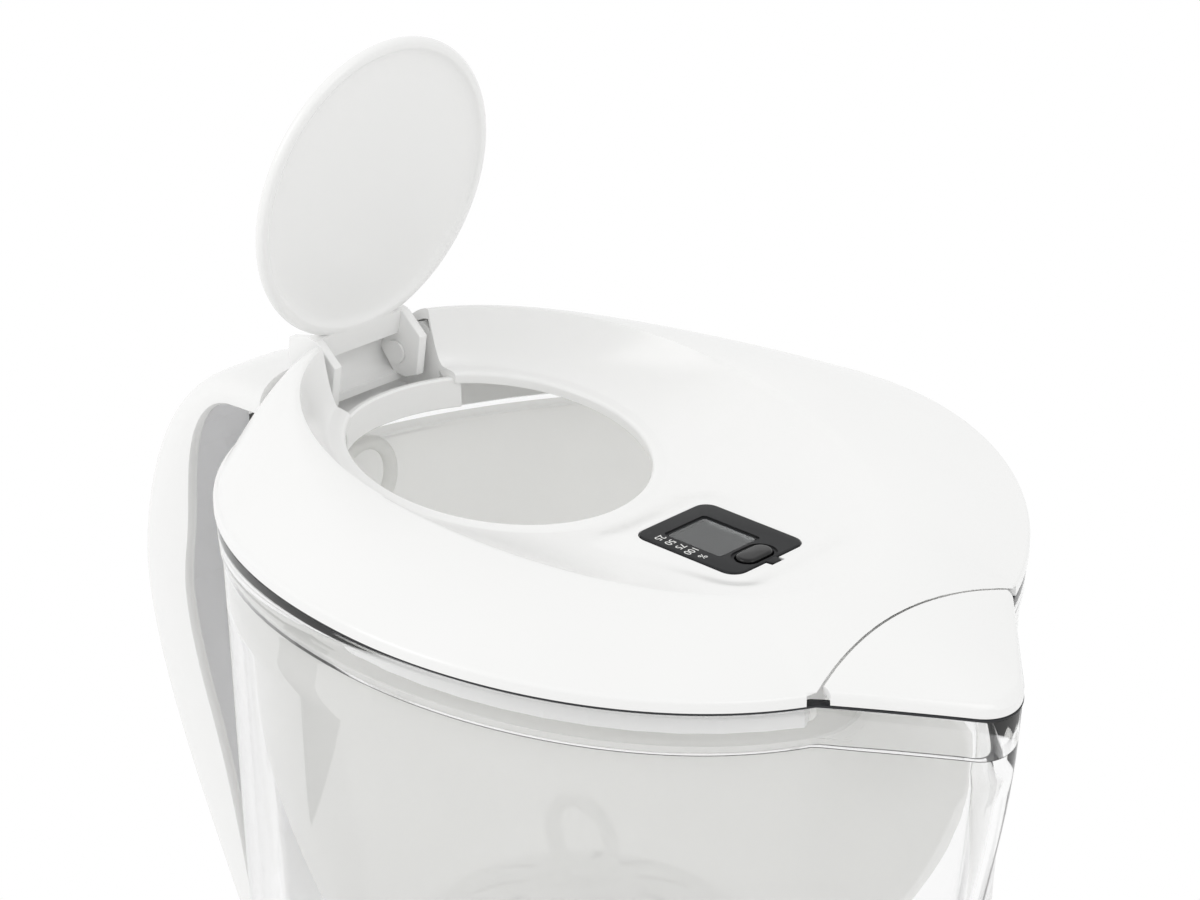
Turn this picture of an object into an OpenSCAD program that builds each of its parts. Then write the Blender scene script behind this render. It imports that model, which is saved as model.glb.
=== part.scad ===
// Water filter pitcher with a hinged refill flap, a pour flap and a filter meter in its lid.
// The origin is on the table below the lid's middle. +X points to the spout, +Z up.

/* [Jug] */
// Height of the rim above the table, at the middle of the jug
rim_height = 240; // [215:5:265]
// Half of the jug's width at its widest
half_width = 80; // [76:1:86]
// Distance along X from the origin to the widest section
widest_x = 11.7; // [9:0.5:14]
// Length of the oval in front of its widest section, without the spout
front_length = 70.5; // [68:0.5:73]
// Length of the oval behind its widest section
rear_length = 95; // [93:0.5:98]
// Fore and aft slope of the arched rim
rim_slope = -0.0459; // [-0.06:0.005:-0.03]
// Bend of the arched rim, per millimetre
rim_bend = -0.00129; // [-0.0016:0.0001:-0.001]
// Wall thickness of the jug
jug_wall = 2.4; // [1.8:0.1:3]
// Thickness of the jug's floor
jug_floor = 3.2; // [2.4:0.2:5]
// How much narrower the jug gets for each millimetre below its rim
jug_taper = 0.00048; // [0.0003:0.00002:0.0006]
// Height of the thicker collar round the rim
collar_height = 6.9; // [5:0.1:8]
// How far the collar stands out from the wall
collar_step = 0.9; // [0.4:0.1:1.4]
// Radius of the jug's bottom edge
base_round = 9; // [5:1:14]
// Depth of the finger recess in the rear wall
grip_recess = 8; // [4:1:12]

/* [Spout] */
// Distance along X from the origin to the tip of the spout
spout_tip_x = 98.6; // [96:0.5:102]
// Radius of the rounded spout tip
spout_tip_radius = 11.6; // [9:0.2:13]
// Angle, seen from the widest section, at which the spout leaves the oval
spout_angle = 21.9; // [20:0.5:24]
// How far below the rim the spout's channel fades into the wall
spout_fade = 150; // [110:5:180]

/* [Lid] */
// Thickness of the lid's shell
lid_wall = 2.2; // [1.8:0.1:2.8]
// Height of the lid's edge above its seal
lid_edge = 2.5; // [2:0.1:3.5]
// Radius of the round refill hole
hole_radius = 30.6; // [28:0.2:32]
// Distance from the rear of the jug to the middle of the refill hole
hole_back = 56.7; // [55.3:0.2:58.3]
// Height of the refill hole above the rim
hole_rise = 1.8; // [1:0.2:3]
// Tilt of the refill hole towards the spout, in degrees
hole_tilt = 9.54; // [8:0.5:11]
// Half of the width of the dish in the lid
dish_half_width = 48.3; // [46:0.5:52]
// Length of the dish in front of its middle
dish_front = 70.5; // [69:0.5:72]
// Distance from the rear of the jug to the crest round the dish
dish_margin = 20.3; // [18.5:0.3:22]
// Place along X of the middle of the dish
dish_x = -10; // [-12:0.5:-9]
// Height of the dish's crest above the rim, at the origin
crest_rise = 8.6; // [7:0.2:10]
// Slope of the dish's crest towards the spout
crest_slope = -0.165; // [-0.18:0.005:-0.14]
// Thickness of the dark seal under the lid
seal_height = 0.6; // [0.5:0.1:1.2]
// Width of the seal
seal_width = 3; // [2:0.2:4]
// Depth of the skirt that centres the lid in the jug
skirt_depth = 5.2; // [4:0.2:6]

/* [Refill flap] */
// How far the flap's disc reaches past the refill hole
flap_overlap = 1.3; // [0.8:0.1:2]
// Thickness of the flap's disc
flap_plate = 2.2; // [1.6:0.1:3]
// Width of the lip round the underside of the disc
flap_lip = 2; // [1.4:0.2:3]
// Distance from the middle of the disc to the flap's hinge
flap_reach = 39.8; // [39:0.2:41]
// Angle by which the flap stands open
flap_open = 89.4; // [80:0.2:92]
// Radius of the flap's hinge pins
flap_pin_radius = 2; // [1.6:0.1:2.4]
// Distance between the outer faces of the flap's two cheeks
flap_arm_width = 26.8; // [24:0.2:28]
// Thickness of each cheek
flap_cheek = 2.2; // [1.8:0.1:3]

/* [Pour flap] */
// Place along X of the middle of the pour flap's rear edge
pour_seam_x = 72.8; // [72:0.2:74]
// Thickness of the pour flap
pour_plate = 1.6; // [1.4:0.1:1.8]
// Radius of the pour flap's pin
pour_pin_radius = 1; // [0.8:0.1:1.2]
// Length of the pour flap's pin
pour_pin_length = 21; // [19:1:22]
// Gap between the lid and the pour flap
pour_gap = 0.4; // [0.3:0.05:0.6]

/* [Meter] */
// Length of the meter along X
meter_length = 25; // [23:0.5:26]
// Width of the meter
meter_width = 21.4; // [20:0.2:23]
// Place along X of the middle of the meter
meter_x = 30.2; // [29:0.2:31]
// Height of the meter's face above the rim
meter_rise = -1.9; // [-2.4:0.1:-1.5]
// Tilt of the meter's face towards the spout, in degrees
meter_tilt = 3; // [0:0.5:5]
// Depth of the meter's case
meter_depth = 9; // [8:0.5:11]
// Travel of the meter's button
button_travel = 0.8; // [0.5:0.1:1]

/* [Reservoir] */
// Wall thickness of the reservoir
funnel_wall = 2; // [1.6:0.1:2.6]
// Depth of the reservoir below the rim
funnel_depth = 100; // [90:2:106]
// Depth of the ledge that carries the reservoir, below the rim
ledge_depth = 9.5; // [9:0.1:12]

/* [Cartridge] */
// Outer radius of the filter cartridge's cup
cup_radius = 28; // [26:0.5:30]
// Height of the cartridge's cup below its flange
cup_height = 62; // [50:2:70]
// Wall thickness of the cup
cup_wall = 1.6; // [1.2:0.1:2]
// How far the cup's flange reaches past the cup
cup_flange = 4.4; // [4:0.2:6]
// Place along X of the cartridge
cup_x = -5; // [-8:1:-2]

/* [Handle] */
// Width of the handle
handle_width = 30; // [27:1:33]
// Wall thickness of the handle's shell
handle_wall = 2.6; // [2:0.1:3.4]
// Distance along X from the origin to the outside of the handle
handle_x = -123; // [-127:0.5:-120]
// Depth of the handle from its outer face to its inner edge
handle_depth = 19; // [17:0.5:21]
// Depth of the handle where it meets the lid
handle_top_depth = 6.2; // [5.6:0.2:8]

/* [Clearances] */
// Gap between pieces that move against each other
gap = 0.3; // [0.25:0.05:0.5]
// Radial play of a pin in its hole
pin_play = 0.05; // [0.02:0.01:0.1]

/* [Hidden] */

// Numbers of points round the outline
beak_marks = [0.07, 0.14, 0.22, 0.4, 0.6, 0.8, 1];
oval_steps = 50;

// Colours
clear_tint = [0.86, 0.9, 0.93, 0.45];
white = [0.96, 0.96, 0.96];
pale_grey = [0.82, 0.83, 0.84];
dark = [0.16, 0.16, 0.17];

// Smooth step from 0 to 1
function smooth(v) = let (c = min(1, max(0, v))) c * c * (3 - 2 * c);
function mix(a, b, v) = a + (b - a) * v;

// Height of the arched rim at a place along X
function rim_z(x) = rim_height + rim_slope * x + rim_bend * x * x;

// The plain oval, at an angle about its widest section
rear_power = 4 / 3;
function oval(t) = cos(t) > 0
    ? [widest_x + front_length * cos(t), half_width * sin(t)]
    : [widest_x + rear_length * cos(t), half_width * sign(sin(t)) * pow(abs(sin(t)), rear_power)];

// Rear of the jug, and what is placed from it
jug_rear = widest_x - rear_length;
hole_x = jug_rear + hole_back;
dish_rear = dish_x - jug_rear - dish_margin;

// Where the oval's rear lies, at a place across it
function rear_x(y) = widest_x - rear_length * sqrt(1 - pow(abs(y) / half_width, 2 / rear_power));

// The spout's outline, for u from 0 at its tip to 1 where it leaves the oval
kink = oval(spout_angle);
tip_centre = [spout_tip_x - spout_tip_radius, 0];
tip_turn = atan2(kink[1], kink[0] - tip_centre[0])
    - acos(spout_tip_radius / norm(kink - tip_centre));
tip_share = 0.22;
function tip_point(a) = tip_centre + spout_tip_radius * [cos(a), sin(a)];
function spout_point(u) = u < tip_share
    ? tip_point(tip_turn * u / tip_share)
    : mix(tip_point(tip_turn), kink, (u - tip_share) / (1 - tip_share));
function mirrored(p, side) = [p[0], side * p[1]];

// Marks round the outline: an angle, and u on the spout or -1 off it
marks = concat(
    [[0, 0]],
    [for (u = beak_marks) [u * spout_angle, u]],
    [for (k = [1 : oval_steps - 1])
        [spout_angle + k * (360 - 2 * spout_angle) / oval_steps, -1]],
    [for (k = [len(beak_marks) - 1 : -1 : 0])
        [360 - beak_marks[k] * spout_angle, beak_marks[k]]]);
mark_count = len(marks);
function side_of(m) = m[0] > 180 ? -1 : 1;

// The outline with a share of its spout
function outline_point(m, spout) = m[1] < 0
    ? oval(m[0])
    : mix(oval(m[0]), mirrored(spout_point(m[1]), side_of(m)), spout);

// The lid's outline, which stops at the pour flap
function seam_point(u) = [mix(pour_seam_x, kink[0], u * u), kink[1] * u];
function lid_point(m) = m[1] < 0 ? oval(m[0]) : mirrored(seam_point(m[1]), side_of(m));

// A ring moved inwards along its own normals
function inset_ring(ring, inset) = let (n = len(ring)) [for (i = [0 : n - 1])
    let (run = ring[(i + 1) % n] - ring[(i + n - 1) % n])
        ring[i] + inset * [-run[1], run[0]] / norm(run)];

// Closed surface through rings that all have the same number of points
module loft(rings, capped = true) {
    n = len(rings[0]);
    m = len(rings);
    last = (m - 1) * n;
    middle = function (ring) [for (k = [0 : 2])
        (max([for (p = ring) p[k]]) + min([for (p = ring) p[k]])) / 2];
    points = [for (ring = rings) each ring];
    sides = [for (k = [0 : (capped ? m - 2 : m - 1)], i = [0 : n - 1])
        let (a = k * n, b = ((k + 1) % m) * n, j = (i + 1) % n)
            each [[a + i, b + i, b + j], [a + i, b + j, a + j]]];
    low = [for (i = [0 : n - 1]) [m * n, i, (i + 1) % n]];
    high = [for (i = [0 : n - 1]) [m * n + 1, last + (i + 1) % n, last + i]];
    if (capped)
        polyhedron(concat(points, [middle(rings[0]), middle(rings[m - 1])]),
            concat(sides, low, high));
    else
        polyhedron(points, sides);
}

// Jug
function spout_share(d) = pow(cos(min(90, 90 * d / spout_fade)), 2);
wall_depths = [196, 170, 146, 124, 108, 92, 76, 60, 46, 34, 24, 14];
turns = [0, 30, 60, 90];
rim_inset = 0.3;
top_play = seal_height + gap;
ledge_width = 2.2;
grip_half = 36;
grip_top = 14;
grip_low = 126;
grip_fade = 30;
arch_start = 20;
arch_fade = 110;
function wall_scale(d) = 1 - jug_taper * d;
function recess(p, d) = p[0] > 0 ? 0 : grip_recess * smooth(1 - abs(p[1]) / grip_half)
    * smooth((d - grip_top) / grip_fade) * smooth((grip_low - d) / grip_fade);
function arched_z(x, d) = rim_height - d
    + (1 - smooth((d - arch_start) / arch_fade)) * (rim_z(x) - rim_height);
function jug_ring(d, inset) = let (
    wall = [for (m = marks) let (q = outline_point(m, spout_share(d)) * wall_scale(d))
        [q[0] + recess(q, d), q[1]]],
    ring = inset_ring(wall, inset))
    [for (i = [0 : mark_count - 1]) [ring[i][0], ring[i][1], arched_z(wall[i][0], d)]];
inner_round = base_round - 2;
jug_in = collar_step + jug_wall;
rim_in = rim_inset + jug_wall;

module jug_body() {
    color(clear_tint) {
        loft(concat(
            [for (a = turns)
                jug_ring(rim_height - base_round * (1 - cos(a)),
                    collar_step + base_round * (1 - sin(a)))],
            [for (d = wall_depths) jug_ring(d, collar_step)],
            [jug_ring(collar_height + collar_step, collar_step)],
            [jug_ring(collar_height, rim_inset)],
            [jug_ring(top_play, rim_inset)],
            [jug_ring(top_play, rim_in)],
            [jug_ring(ledge_depth, rim_in)],
            [jug_ring(ledge_depth, rim_in + ledge_width)],
            [jug_ring(ledge_depth + ledge_width, rim_in + ledge_width)],
            [for (k = [len(wall_depths) - 1 : -1 : 0]) jug_ring(wall_depths[k], jug_in)],
            [for (k = [len(turns) - 1 : -1 : 0])
                jug_ring(rim_height - jug_floor - inner_round * (1 - cos(turns[k])),
                    jug_in + inner_round * (1 - sin(turns[k])))]));
        handle_bracket();
    }
}

// Tongue on the jug that rises into the hollow top of the handle
bracket_width = 20;
bracket_base = [4.7, 7];
bracket_rise = -13.5;
bracket_plate = 3.8;
bracket_top = 1.1;
module handle_bracket() {
    translate([jug_rear - bracket_base[0], -bracket_width / 2, rim_height + bracket_rise]) {
        cube([bracket_base[0] + jug_wall / 2 + rim_inset, bracket_width, bracket_base[1]]);
        cube([bracket_plate, bracket_width, bracket_top - bracket_rise]);
    }
}

// Handle
handle_top = 5;
handle_middle = -47;
handle_upper = handle_top - handle_middle;
handle_lower = 90;
handle_root_x = -86;
handle_bulge = handle_root_x - handle_x;
lower_power = 1.6;
handle_angles = [-78, -68, -60, -52, -44, -36, -28, -20, -12, -4, 6, 16, 26, 36, 46, 56, 66, 76,
    84];
handle_end = handle_angles[len(handle_angles) - 1];
function handle_outer(a) = a > 0
    ? [handle_root_x - handle_bulge * cos(a), handle_middle + handle_upper * sin(a)]
    : [handle_root_x - handle_bulge * (1 - pow(-sin(a), lower_power)),
        handle_middle + handle_lower * sin(a)];
function handle_normal(a) = let (run = handle_outer(a + 0.5) - handle_outer(a - 0.5))
    [-run[1], run[0]] / norm(run);
tail_depth = 3.5;
tail_fade = [20, 64];
top_fade = [15, 65];
function handle_reach(a) = a > 0
    ? mix(handle_depth, handle_top_depth, smooth((a - top_fade[0]) / top_fade[1]))
    : mix(handle_depth, tail_depth, smooth((-a - tail_fade[0]) / tail_fade[1]));
function against_jug(x, y, rise) = min(x, rear_x(y) * wall_scale(max(0, -rise)) - gap);

// Point of the handle for a section point: y across, n of the reach from the inner edge
function handle_point(a, y, n, ended) = let (
    p = handle_outer(a) + handle_normal(a) * (n - handle_reach(a)),
    x = ended ? rear_x(y) - gap : against_jug(p[0], y, p[1]))
    [x, y, rim_height + p[1]];
section_steps = 14;
function hollow_depth(a) = max(0.3 * handle_reach(a), handle_reach(a) - handle_wall);

// Half-round section: y and n of a point of a D with the given width, depth and wall
section_top = 0.5;
section_side = 0.75;
function d_section(t, w, deep) = let (c = cos(t), s = sin(t))
    [w / 2 * sign(c) * pow(abs(c), section_top), deep * pow(abs(s), section_side)];

cuts = [for (k = [0 : section_steps]) 180 * k / section_steps];

module handle_shell() {
    stations = concat([for (a = handle_angles) [a, false]], [[handle_end, true]]);
    rings = [for (s = stations) let (deep = handle_reach(s[0])) concat(
        [for (t = cuts) let (q = d_section(t, handle_width, deep))
            handle_point(s[0], q[0], q[1], s[1])],
        [for (t = [for (k = [section_steps : -1 : 0]) cuts[k]])
            let (q = d_section(t, handle_width - 2 * handle_wall, hollow_depth(s[0])))
            handle_point(s[0], q[0], q[1], s[1])])];
    color(white) strip_loft(rings);
}

// Closed surface through rings that are thin strips, with ends filled across the strip
module strip_loft(rings) {
    n = len(rings[0]);
    m = len(rings);
    half = n / 2;
    last = (m - 1) * n;
    sides = [for (k = [0 : m - 2], i = [0 : n - 1])
        let (a = k * n, b = (k + 1) * n, j = (i + 1) % n)
            each [[a + i, b + i, b + j], [a + i, b + j, a + j]]];
    low = [for (i = [0 : half - 2]) let (o = n - 1 - i)
        each [[i, i + 1, o - 1], [i, o - 1, o]]];
    high = [for (f = low) [f[2] + last, f[1] + last, f[0] + last]];
    polyhedron([for (r = rings) each r], concat(sides, low, high));
}

// Pad that fills the crown of the handle's hollow
liner_play = 0.1;
liner_cut = 3;
liner_reach = [-50, 60];
module handle_liner() {
    angles = [for (a = handle_angles) if (a > liner_reach[0] && a < liner_reach[1]) a];
    rings = [for (a = angles) [for (k = [section_steps - liner_cut : -1 : liner_cut])
        let (q = d_section(cuts[k], handle_width - 2 * handle_wall - 2 * liner_play,
            hollow_depth(a) - liner_play))
            handle_point(a, -q[0], q[1], false)]];
    color(pale_grey) loft(rings);
}

// Reservoir
flange_top = ledge_depth - gap - funnel_wall;
funnel_in = rim_in + gap;
funnel_levels = [12, 18, 26, 36, 46, 58, 72, 86];
funnel_draw = 0.5;
funnel_start = 34;
socket_play = 0.6;
socket_radius = cup_radius + socket_play;
socket_wall = 2;
socket_depth = 34;
floor_fall = 5;
seat_rise = 0.8;
seat_depth = funnel_depth + floor_fall - 1;
seat_z = rim_height - seat_depth + seat_rise;
function funnel_mix(d) = funnel_draw
    * (1 - cos(90 * min(1, max(0, (d - funnel_start) / (funnel_depth - funnel_start)))));
function funnel_ring(d, inset, blend) = let (
    wall = [for (m = marks) let (q = oval(m[0]) * wall_scale(d)) [q[0] + recess(q, d), q[1]]],
    rim = inset_ring(wall, inset),
    r = socket_radius + 4 - inset / 2)
    [for (i = [0 : mark_count - 1]) let (
        p = mix(rim[i], [cup_x, 0] + r * [cos(marks[i][0]), sin(marks[i][0])], blend))
        [p[0], p[1], arched_z(wall[i][0], d)]];

module reservoir_funnel() {
    under = funnel_in + ledge_width + gap;
    inner = under + funnel_wall;
    rim_low = flange_top + funnel_wall;
    color(pale_grey) {
        loft(concat(
            [funnel_ring(seat_depth + funnel_wall, under, 1)],
            [funnel_ring(funnel_depth + funnel_wall, under, funnel_draw)],
            [for (k = [len(funnel_levels) - 1 : -1 : 0])
                funnel_ring(funnel_levels[k], under, funnel_mix(funnel_levels[k]))],
            [funnel_ring(rim_low, under, 0)],
            [funnel_ring(rim_low, funnel_in, 0)],
            [funnel_ring(flange_top, funnel_in, 0)],
            [funnel_ring(flange_top, inner, 0)],
            [for (d = funnel_levels) funnel_ring(d, inner, funnel_mix(d))],
            [funnel_ring(funnel_depth, inner, funnel_draw)],
            [funnel_ring(seat_depth + seat_rise, inner, 1)]), false);
        translate([cup_x, 0, 0]) socket();
        grip_ring();
    }
}

// Socket of the reservoir that holds the cartridge
socket_lip = 3.4;
module socket() {
    top = seat_z;
    low = top - socket_depth;
    rotate_extrude($fn = 96) polygon([
        [socket_radius, low], [socket_radius + socket_wall, low],
        [socket_radius + socket_wall, top - funnel_wall], [socket_radius + socket_lip, top - funnel_wall],
        [socket_radius + socket_lip, top], [socket_radius, top]]);
}

// Ring inside the rear of the reservoir for lifting it out
grip_ring_radius = 8;
grip_ring_wire = 1.5;
grip_ring_x = jug_rear + funnel_in + ledge_width + gap + funnel_wall + 10.8;
grip_ring_rise = -16;
grip_bar = [9.3, 6, 2.6];
module grip_ring() {
    translate([grip_ring_x, 0, rim_height + grip_ring_rise]) {
        rotate([0, 90, 0]) rotate_extrude($fn = 64) translate([grip_ring_radius, 0])
            circle(grip_ring_wire, $fn = 24);
        translate([-grip_bar[0], -grip_bar[1] / 2, -grip_ring_radius - grip_bar[2] / 2])
            cube(grip_bar);
    }
}

// Cartridge
flange_plate = 2.4;
cup_taper = 1.4;
cap_rise = 13;
cap_radius = cup_radius + cup_flange;
cup_top = seat_z + gap + flange_plate;
cup_low = cup_top - flange_plate - cup_height;
groove_drop = 9;
groove_height = 2.4;
groove_deep = 0.9;
media_gap = 0.15;
resin_height = 24;
fleece_height = 1.2;
carbon_height = 25;
media_radius = cup_radius - cup_wall - cup_taper - media_gap;
outlet_rows = [[0, 1], [7, 6], [14, 12], [20.5, 18]];

// Evenly spaced round holes in rows about the middle
module outlets(z, h, d) {
    for (row = outlet_rows, k = [0 : row[1] - 1]) rotate(360 * k / row[1])
        translate([row[0], 0, z]) cylinder(h = h, d = d, $fn = 24);
}

module cartridge_cup() {
    color(white) translate([cup_x, 0, 0]) difference() {
        rotate_extrude($fn = 96) polygon([
            [0, cup_low], [cup_radius - cup_taper, cup_low],
            [cup_radius, cup_top - groove_drop - groove_height],
            [cup_radius - groove_deep, cup_top - groove_drop - groove_height],
            [cup_radius - groove_deep, cup_top - groove_drop],
            [cup_radius, cup_top - groove_drop],
            [cup_radius, cup_top - flange_plate], [cap_radius, cup_top - flange_plate],
            [cap_radius, cup_top], [cup_radius - cup_wall - groove_deep, cup_top],
            [cup_radius - cup_wall - cup_taper, cup_low + cup_wall], [0, cup_low + cup_wall]]);
        outlets(cup_low - 1, cup_wall + 2, 2.6);
    }
}

module cartridge_seal() {
    color(dark) translate([cup_x, 0, cup_top - groove_drop - groove_height + 0.1])
        difference() {
            cylinder(h = groove_height - 0.2, r = socket_radius - gap, $fn = 96);
            translate([0, 0, -1])
                cylinder(h = groove_height + 2, r = cup_radius - groove_deep + 0.05, $fn = 96);
        }
}

cap_wall = 1.8;
cap_slots = 12;
module cartridge_cap() {
    base = cup_top;
    color(white) translate([cup_x, 0, base]) difference() {
        rotate_extrude($fn = 96) polygon(concat(
            [[0, cap_rise - cap_wall]],
            [for (a = [80 : -10 : 0]) [(cap_radius - 4 - cap_wall) * cos(a),
                (cap_rise - cap_wall) * sin(a)]],
            [[cap_radius, 0], [cap_radius, flange_plate]],
            [for (a = [10 : 10 : 80]) [(cap_radius - 4) * cos(a), cap_rise * sin(a)]],
            [[0, cap_rise]]));
        for (k = [0 : cap_slots - 1]) rotate(360 * k / cap_slots)
            translate([12, -1, 2]) cube([11, 2, cap_rise]);
        cylinder(h = 2 * cap_rise, r = 2.05, $fn = 48);
    }
}

pull_radius = 8;
pull_wire = 1.6;
pull_stem = 2;
module cartridge_pull_ring() {
    color(white) translate([cup_x, 0, cup_top]) {
        translate([0, 0, cap_rise - cap_wall - 1.5]) cylinder(h = cap_wall + 4, r = pull_stem, $fn = 48);
        translate([0, 0, cap_rise - cap_wall - 2.5]) cylinder(h = 1.5, r = 3.4, $fn = 48);
        translate([0, 0, cap_rise + pull_radius + 2]) rotate([90, 0, 0])
            rotate_extrude($fn = 64) translate([pull_radius, 0]) circle(pull_wire, $fn = 24);
    }
}

grid_plate = 1.4;
module cartridge_grid() {
    color(pale_grey) translate([cup_x, 0, 0]) difference() {
        translate([0, 0, cup_top - grid_plate]) cylinder(h = grid_plate,
            r = cup_radius - cup_wall - groove_deep - 0.35, $fn = 96);
        outlets(cup_top - grid_plate - 1, grid_plate + 2, 2.6);
    }
}

resin_low = cup_low + cup_wall + 0.05;
module resin_bed() {
    color("khaki") translate([cup_x, 0, resin_low])
        cylinder(h = resin_height, r = media_radius, $fn = 96);
}

fleece_low = resin_low + resin_height + 0.05;
module fleece_disc() {
    color(white) translate([cup_x, 0, fleece_low])
        cylinder(h = fleece_height, r = media_radius, $fn = 96);
}

carbon_low = fleece_low + fleece_height + 0.05;
module carbon_bed() {
    color(dark) translate([cup_x, 0, carbon_low])
        cylinder(h = carbon_height, r = media_radius, $fn = 96);
}

// Lid heights
seam_lift = 4.2;
rear_lift = 7.6;
rear_lift_half = 19;
pad_margin = 3.2;
meter_fade = 9;
meter_proud = 0.3;
function hole_plane(x) = rim_height + hole_rise - tan(hole_tilt) * (x - hole_x);
function crest_z(x) = rim_height + crest_rise + crest_slope * x;
function edge_top(m, p) = m[1] < 0
    ? rim_z(p[0]) + lid_edge
        + (p[0] < 0 ? rear_lift * smooth(1 - abs(p[1]) / rear_lift_half) : 0)
    : rim_z(kink[0]) + lid_edge + seam_lift * (1 - m[1] * m[1]);
function edge_low(m, p) = m[1] < 0 ? rim_z(p[0]) : edge_top(m, p) - lid_wall;

// Points of the lid's top along a line from the hole to the edge, at mark i
function hole_point(m, r) = let (p = [hole_x + r * cos(hole_tilt) * cos(m[0]), r * sin(m[0])])
    [p[0], p[1], hole_plane(p[0])];
function crest_point(m) = let (p = [dish_x + (cos(m[0]) > 0 ? dish_front : dish_rear) * cos(m[0]),
    dish_half_width * sin(m[0])]) [p[0], p[1], crest_z(p[0])];
function bowl(m, v) = pow(v, mix(1.7, 0.9, max(0, cos(m[0]))));
function meter_plane(x) = rim_height + meter_rise - tan(meter_tilt) * (x - meter_x);
function meter_pad(p) = smooth(1 - max(abs(p[0] - meter_x) - meter_length / 2,
    abs(p[1]) - meter_width / 2) / meter_fade);
function dish_point(m, v) = let (
    a = hole_point(m, hole_radius + pad_margin),
    b = crest_point(m),
    p = mix(a, b, v),
    z = mix(a[2], b[2], bowl(m, v)))
    [p[0], p[1], mix(z, meter_plane(p[0]) - meter_proud, meter_pad(p))];
lid_rim = [for (m = marks) lid_point(m)];
function lid_rim_ring(inset) = inset_ring(lid_rim, inset);
lid_round = 0.9;
bevel = 1.4;
function seam_or(round_ring, seam_ring) = [for (i = [0 : mark_count - 1])
    marks[i][1] < 0 ? round_ring[i] : seam_ring[i]];
soft_rim = seam_or(lid_rim_ring(lid_round), lid_rim);
function shoulder_point(i, v) = let (a = crest_point(marks[i]),
    b = [soft_rim[i][0], soft_rim[i][1], edge_top(marks[i], lid_rim[i])],
    p = mix(a, b, v)) [p[0], p[1], b[2] + (a[2] - b[2]) * (1 - pow(v, 1.6))];
function at_edge(flat, drop) = [for (i = [0 : mark_count - 1])
    [flat[i][0], flat[i][1], edge_top(marks[i], lid_rim[i]) - drop]];
edge_side = at_edge(seam_or(lid_rim, lid_rim_ring(bevel * lid_round)), lid_round);
function edge_foot(inset, seam_inset) = let (
    flat = seam_or(lid_rim_ring(inset), lid_rim_ring(seam_inset)))
    [for (i = [0 : mark_count - 1])
        [flat[i][0], flat[i][1], edge_low(marks[i], lid_rim[i])]];
dish_steps = [0.12, 0.26, 0.42, 0.58, 0.74, 0.88];
shoulder_steps = [0.1, 0.24, 0.4, 0.56, 0.72, 0.87];
function lowered(ring) = [for (p = ring) [p[0], p[1], p[2] - lid_wall]];

module lid_shell() {
    tops = concat(
        [[for (m = marks) hole_point(m, hole_radius)]],
        [for (v = concat([0], dish_steps, [1])) [for (m = marks) dish_point(m, v)]],
        [for (v = shoulder_steps) [for (i = [0 : mark_count - 1]) shoulder_point(i, v)]]);
    n = len(tops);
    loft(concat(
        [for (k = [n - 1 : -1 : 0]) tops[k]],
        [for (k = [0 : n - 1]) lowered(tops[k])],
        [edge_foot(lid_wall, bevel * lid_wall + 0.6)],
        [edge_foot(0, bevel * lid_wall)],
        [edge_side],
        [[for (i = [0 : mark_count - 1]) shoulder_point(i, 1)]]), false);
}

// Hinge of the refill flap
flap_lift = 0.5;
hinge_x = hole_x - flap_reach * cos(hole_tilt) + flap_lift * sin(hole_tilt);
hinge_z = rim_height + hole_rise + flap_reach * sin(hole_tilt) + flap_lift * cos(hole_tilt);
tub_half = flap_arm_width / 2 + 1.8;
tub_wall = 1.6;
tub_rear = hinge_x - 9.2;
tub_front = hinge_x + 8.3;
tub_floor = hinge_z - 8.4;
slot_front = hole_x - 0.75 * hole_radius;
band_wall = 1.6;
band_half = 16.5;
bore_radius = flap_pin_radius + pin_play;

tab_width = 3.2;
tab_reach = 1.5;
bezel_plate = 1.4;

// Rounded rectangle, centred
module rounded_plate(l, w, r, h) {
    linear_extrude(h) union() {
        square([l - 2 * r, w], center = true);
        square([l, w - 2 * r], center = true);
        for (x = [-1, 1], y = [-1, 1])
            translate([x * (l / 2 - r), y * (w / 2 - r)]) circle(r, $fn = 48);
    }
}

module at_meter() {
    translate([meter_x, 0, rim_height + meter_rise]) rotate([0, meter_tilt, 0]) children();
}

// Cylinder along Y, centred on its length
module rod(r, l) {
    rotate([90, 0, 0]) cylinder(h = l, r = r, center = true, $fn = 64);
}

// Side of the hinge tub, in the plane of X and Z from the hinge
tub_profile = [
    [tub_rear - tub_wall - hinge_x, tub_floor - tub_wall - hinge_z],
    [tub_front - hinge_x, tub_floor - tub_wall - hinge_z],
    [tub_front - hinge_x, -1.6], [6.8, 3.1], [3.8, 6.6], [0.8, 5], [-2.2, 1.9], [-5.2, -1.5],
    [-8.2, -5.6], [tub_rear - tub_wall - hinge_x, -9.2]];
module tub_slab(from, to) {
    translate([hinge_x, to, hinge_z]) rotate([90, 0, 0])
        linear_extrude(to - from) polygon(tub_profile);
}

module hinge_tub() {
    difference() {
        tub_slab(-tub_half - tub_wall, tub_half + tub_wall);
        translate([tub_rear, -tub_half, tub_floor])
            cube([tub_front - tub_rear + 1, 2 * tub_half, 40]);
        translate([hinge_x, 0, hinge_z]) rod(bore_radius, 3 * tub_half);
    }
}

// Curved wall between the refill hole and the hinge tub
module hole_band() {
    a = asin(band_half / hole_radius);
    translate([hole_x, 0, rim_height - 1.6]) rotate([0, 0, 180 - a])
        rotate_extrude(angle = 2 * a, $fn = 128)
            translate([hole_radius + 0.2, 0]) square([band_wall, 6.6]);
}

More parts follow.
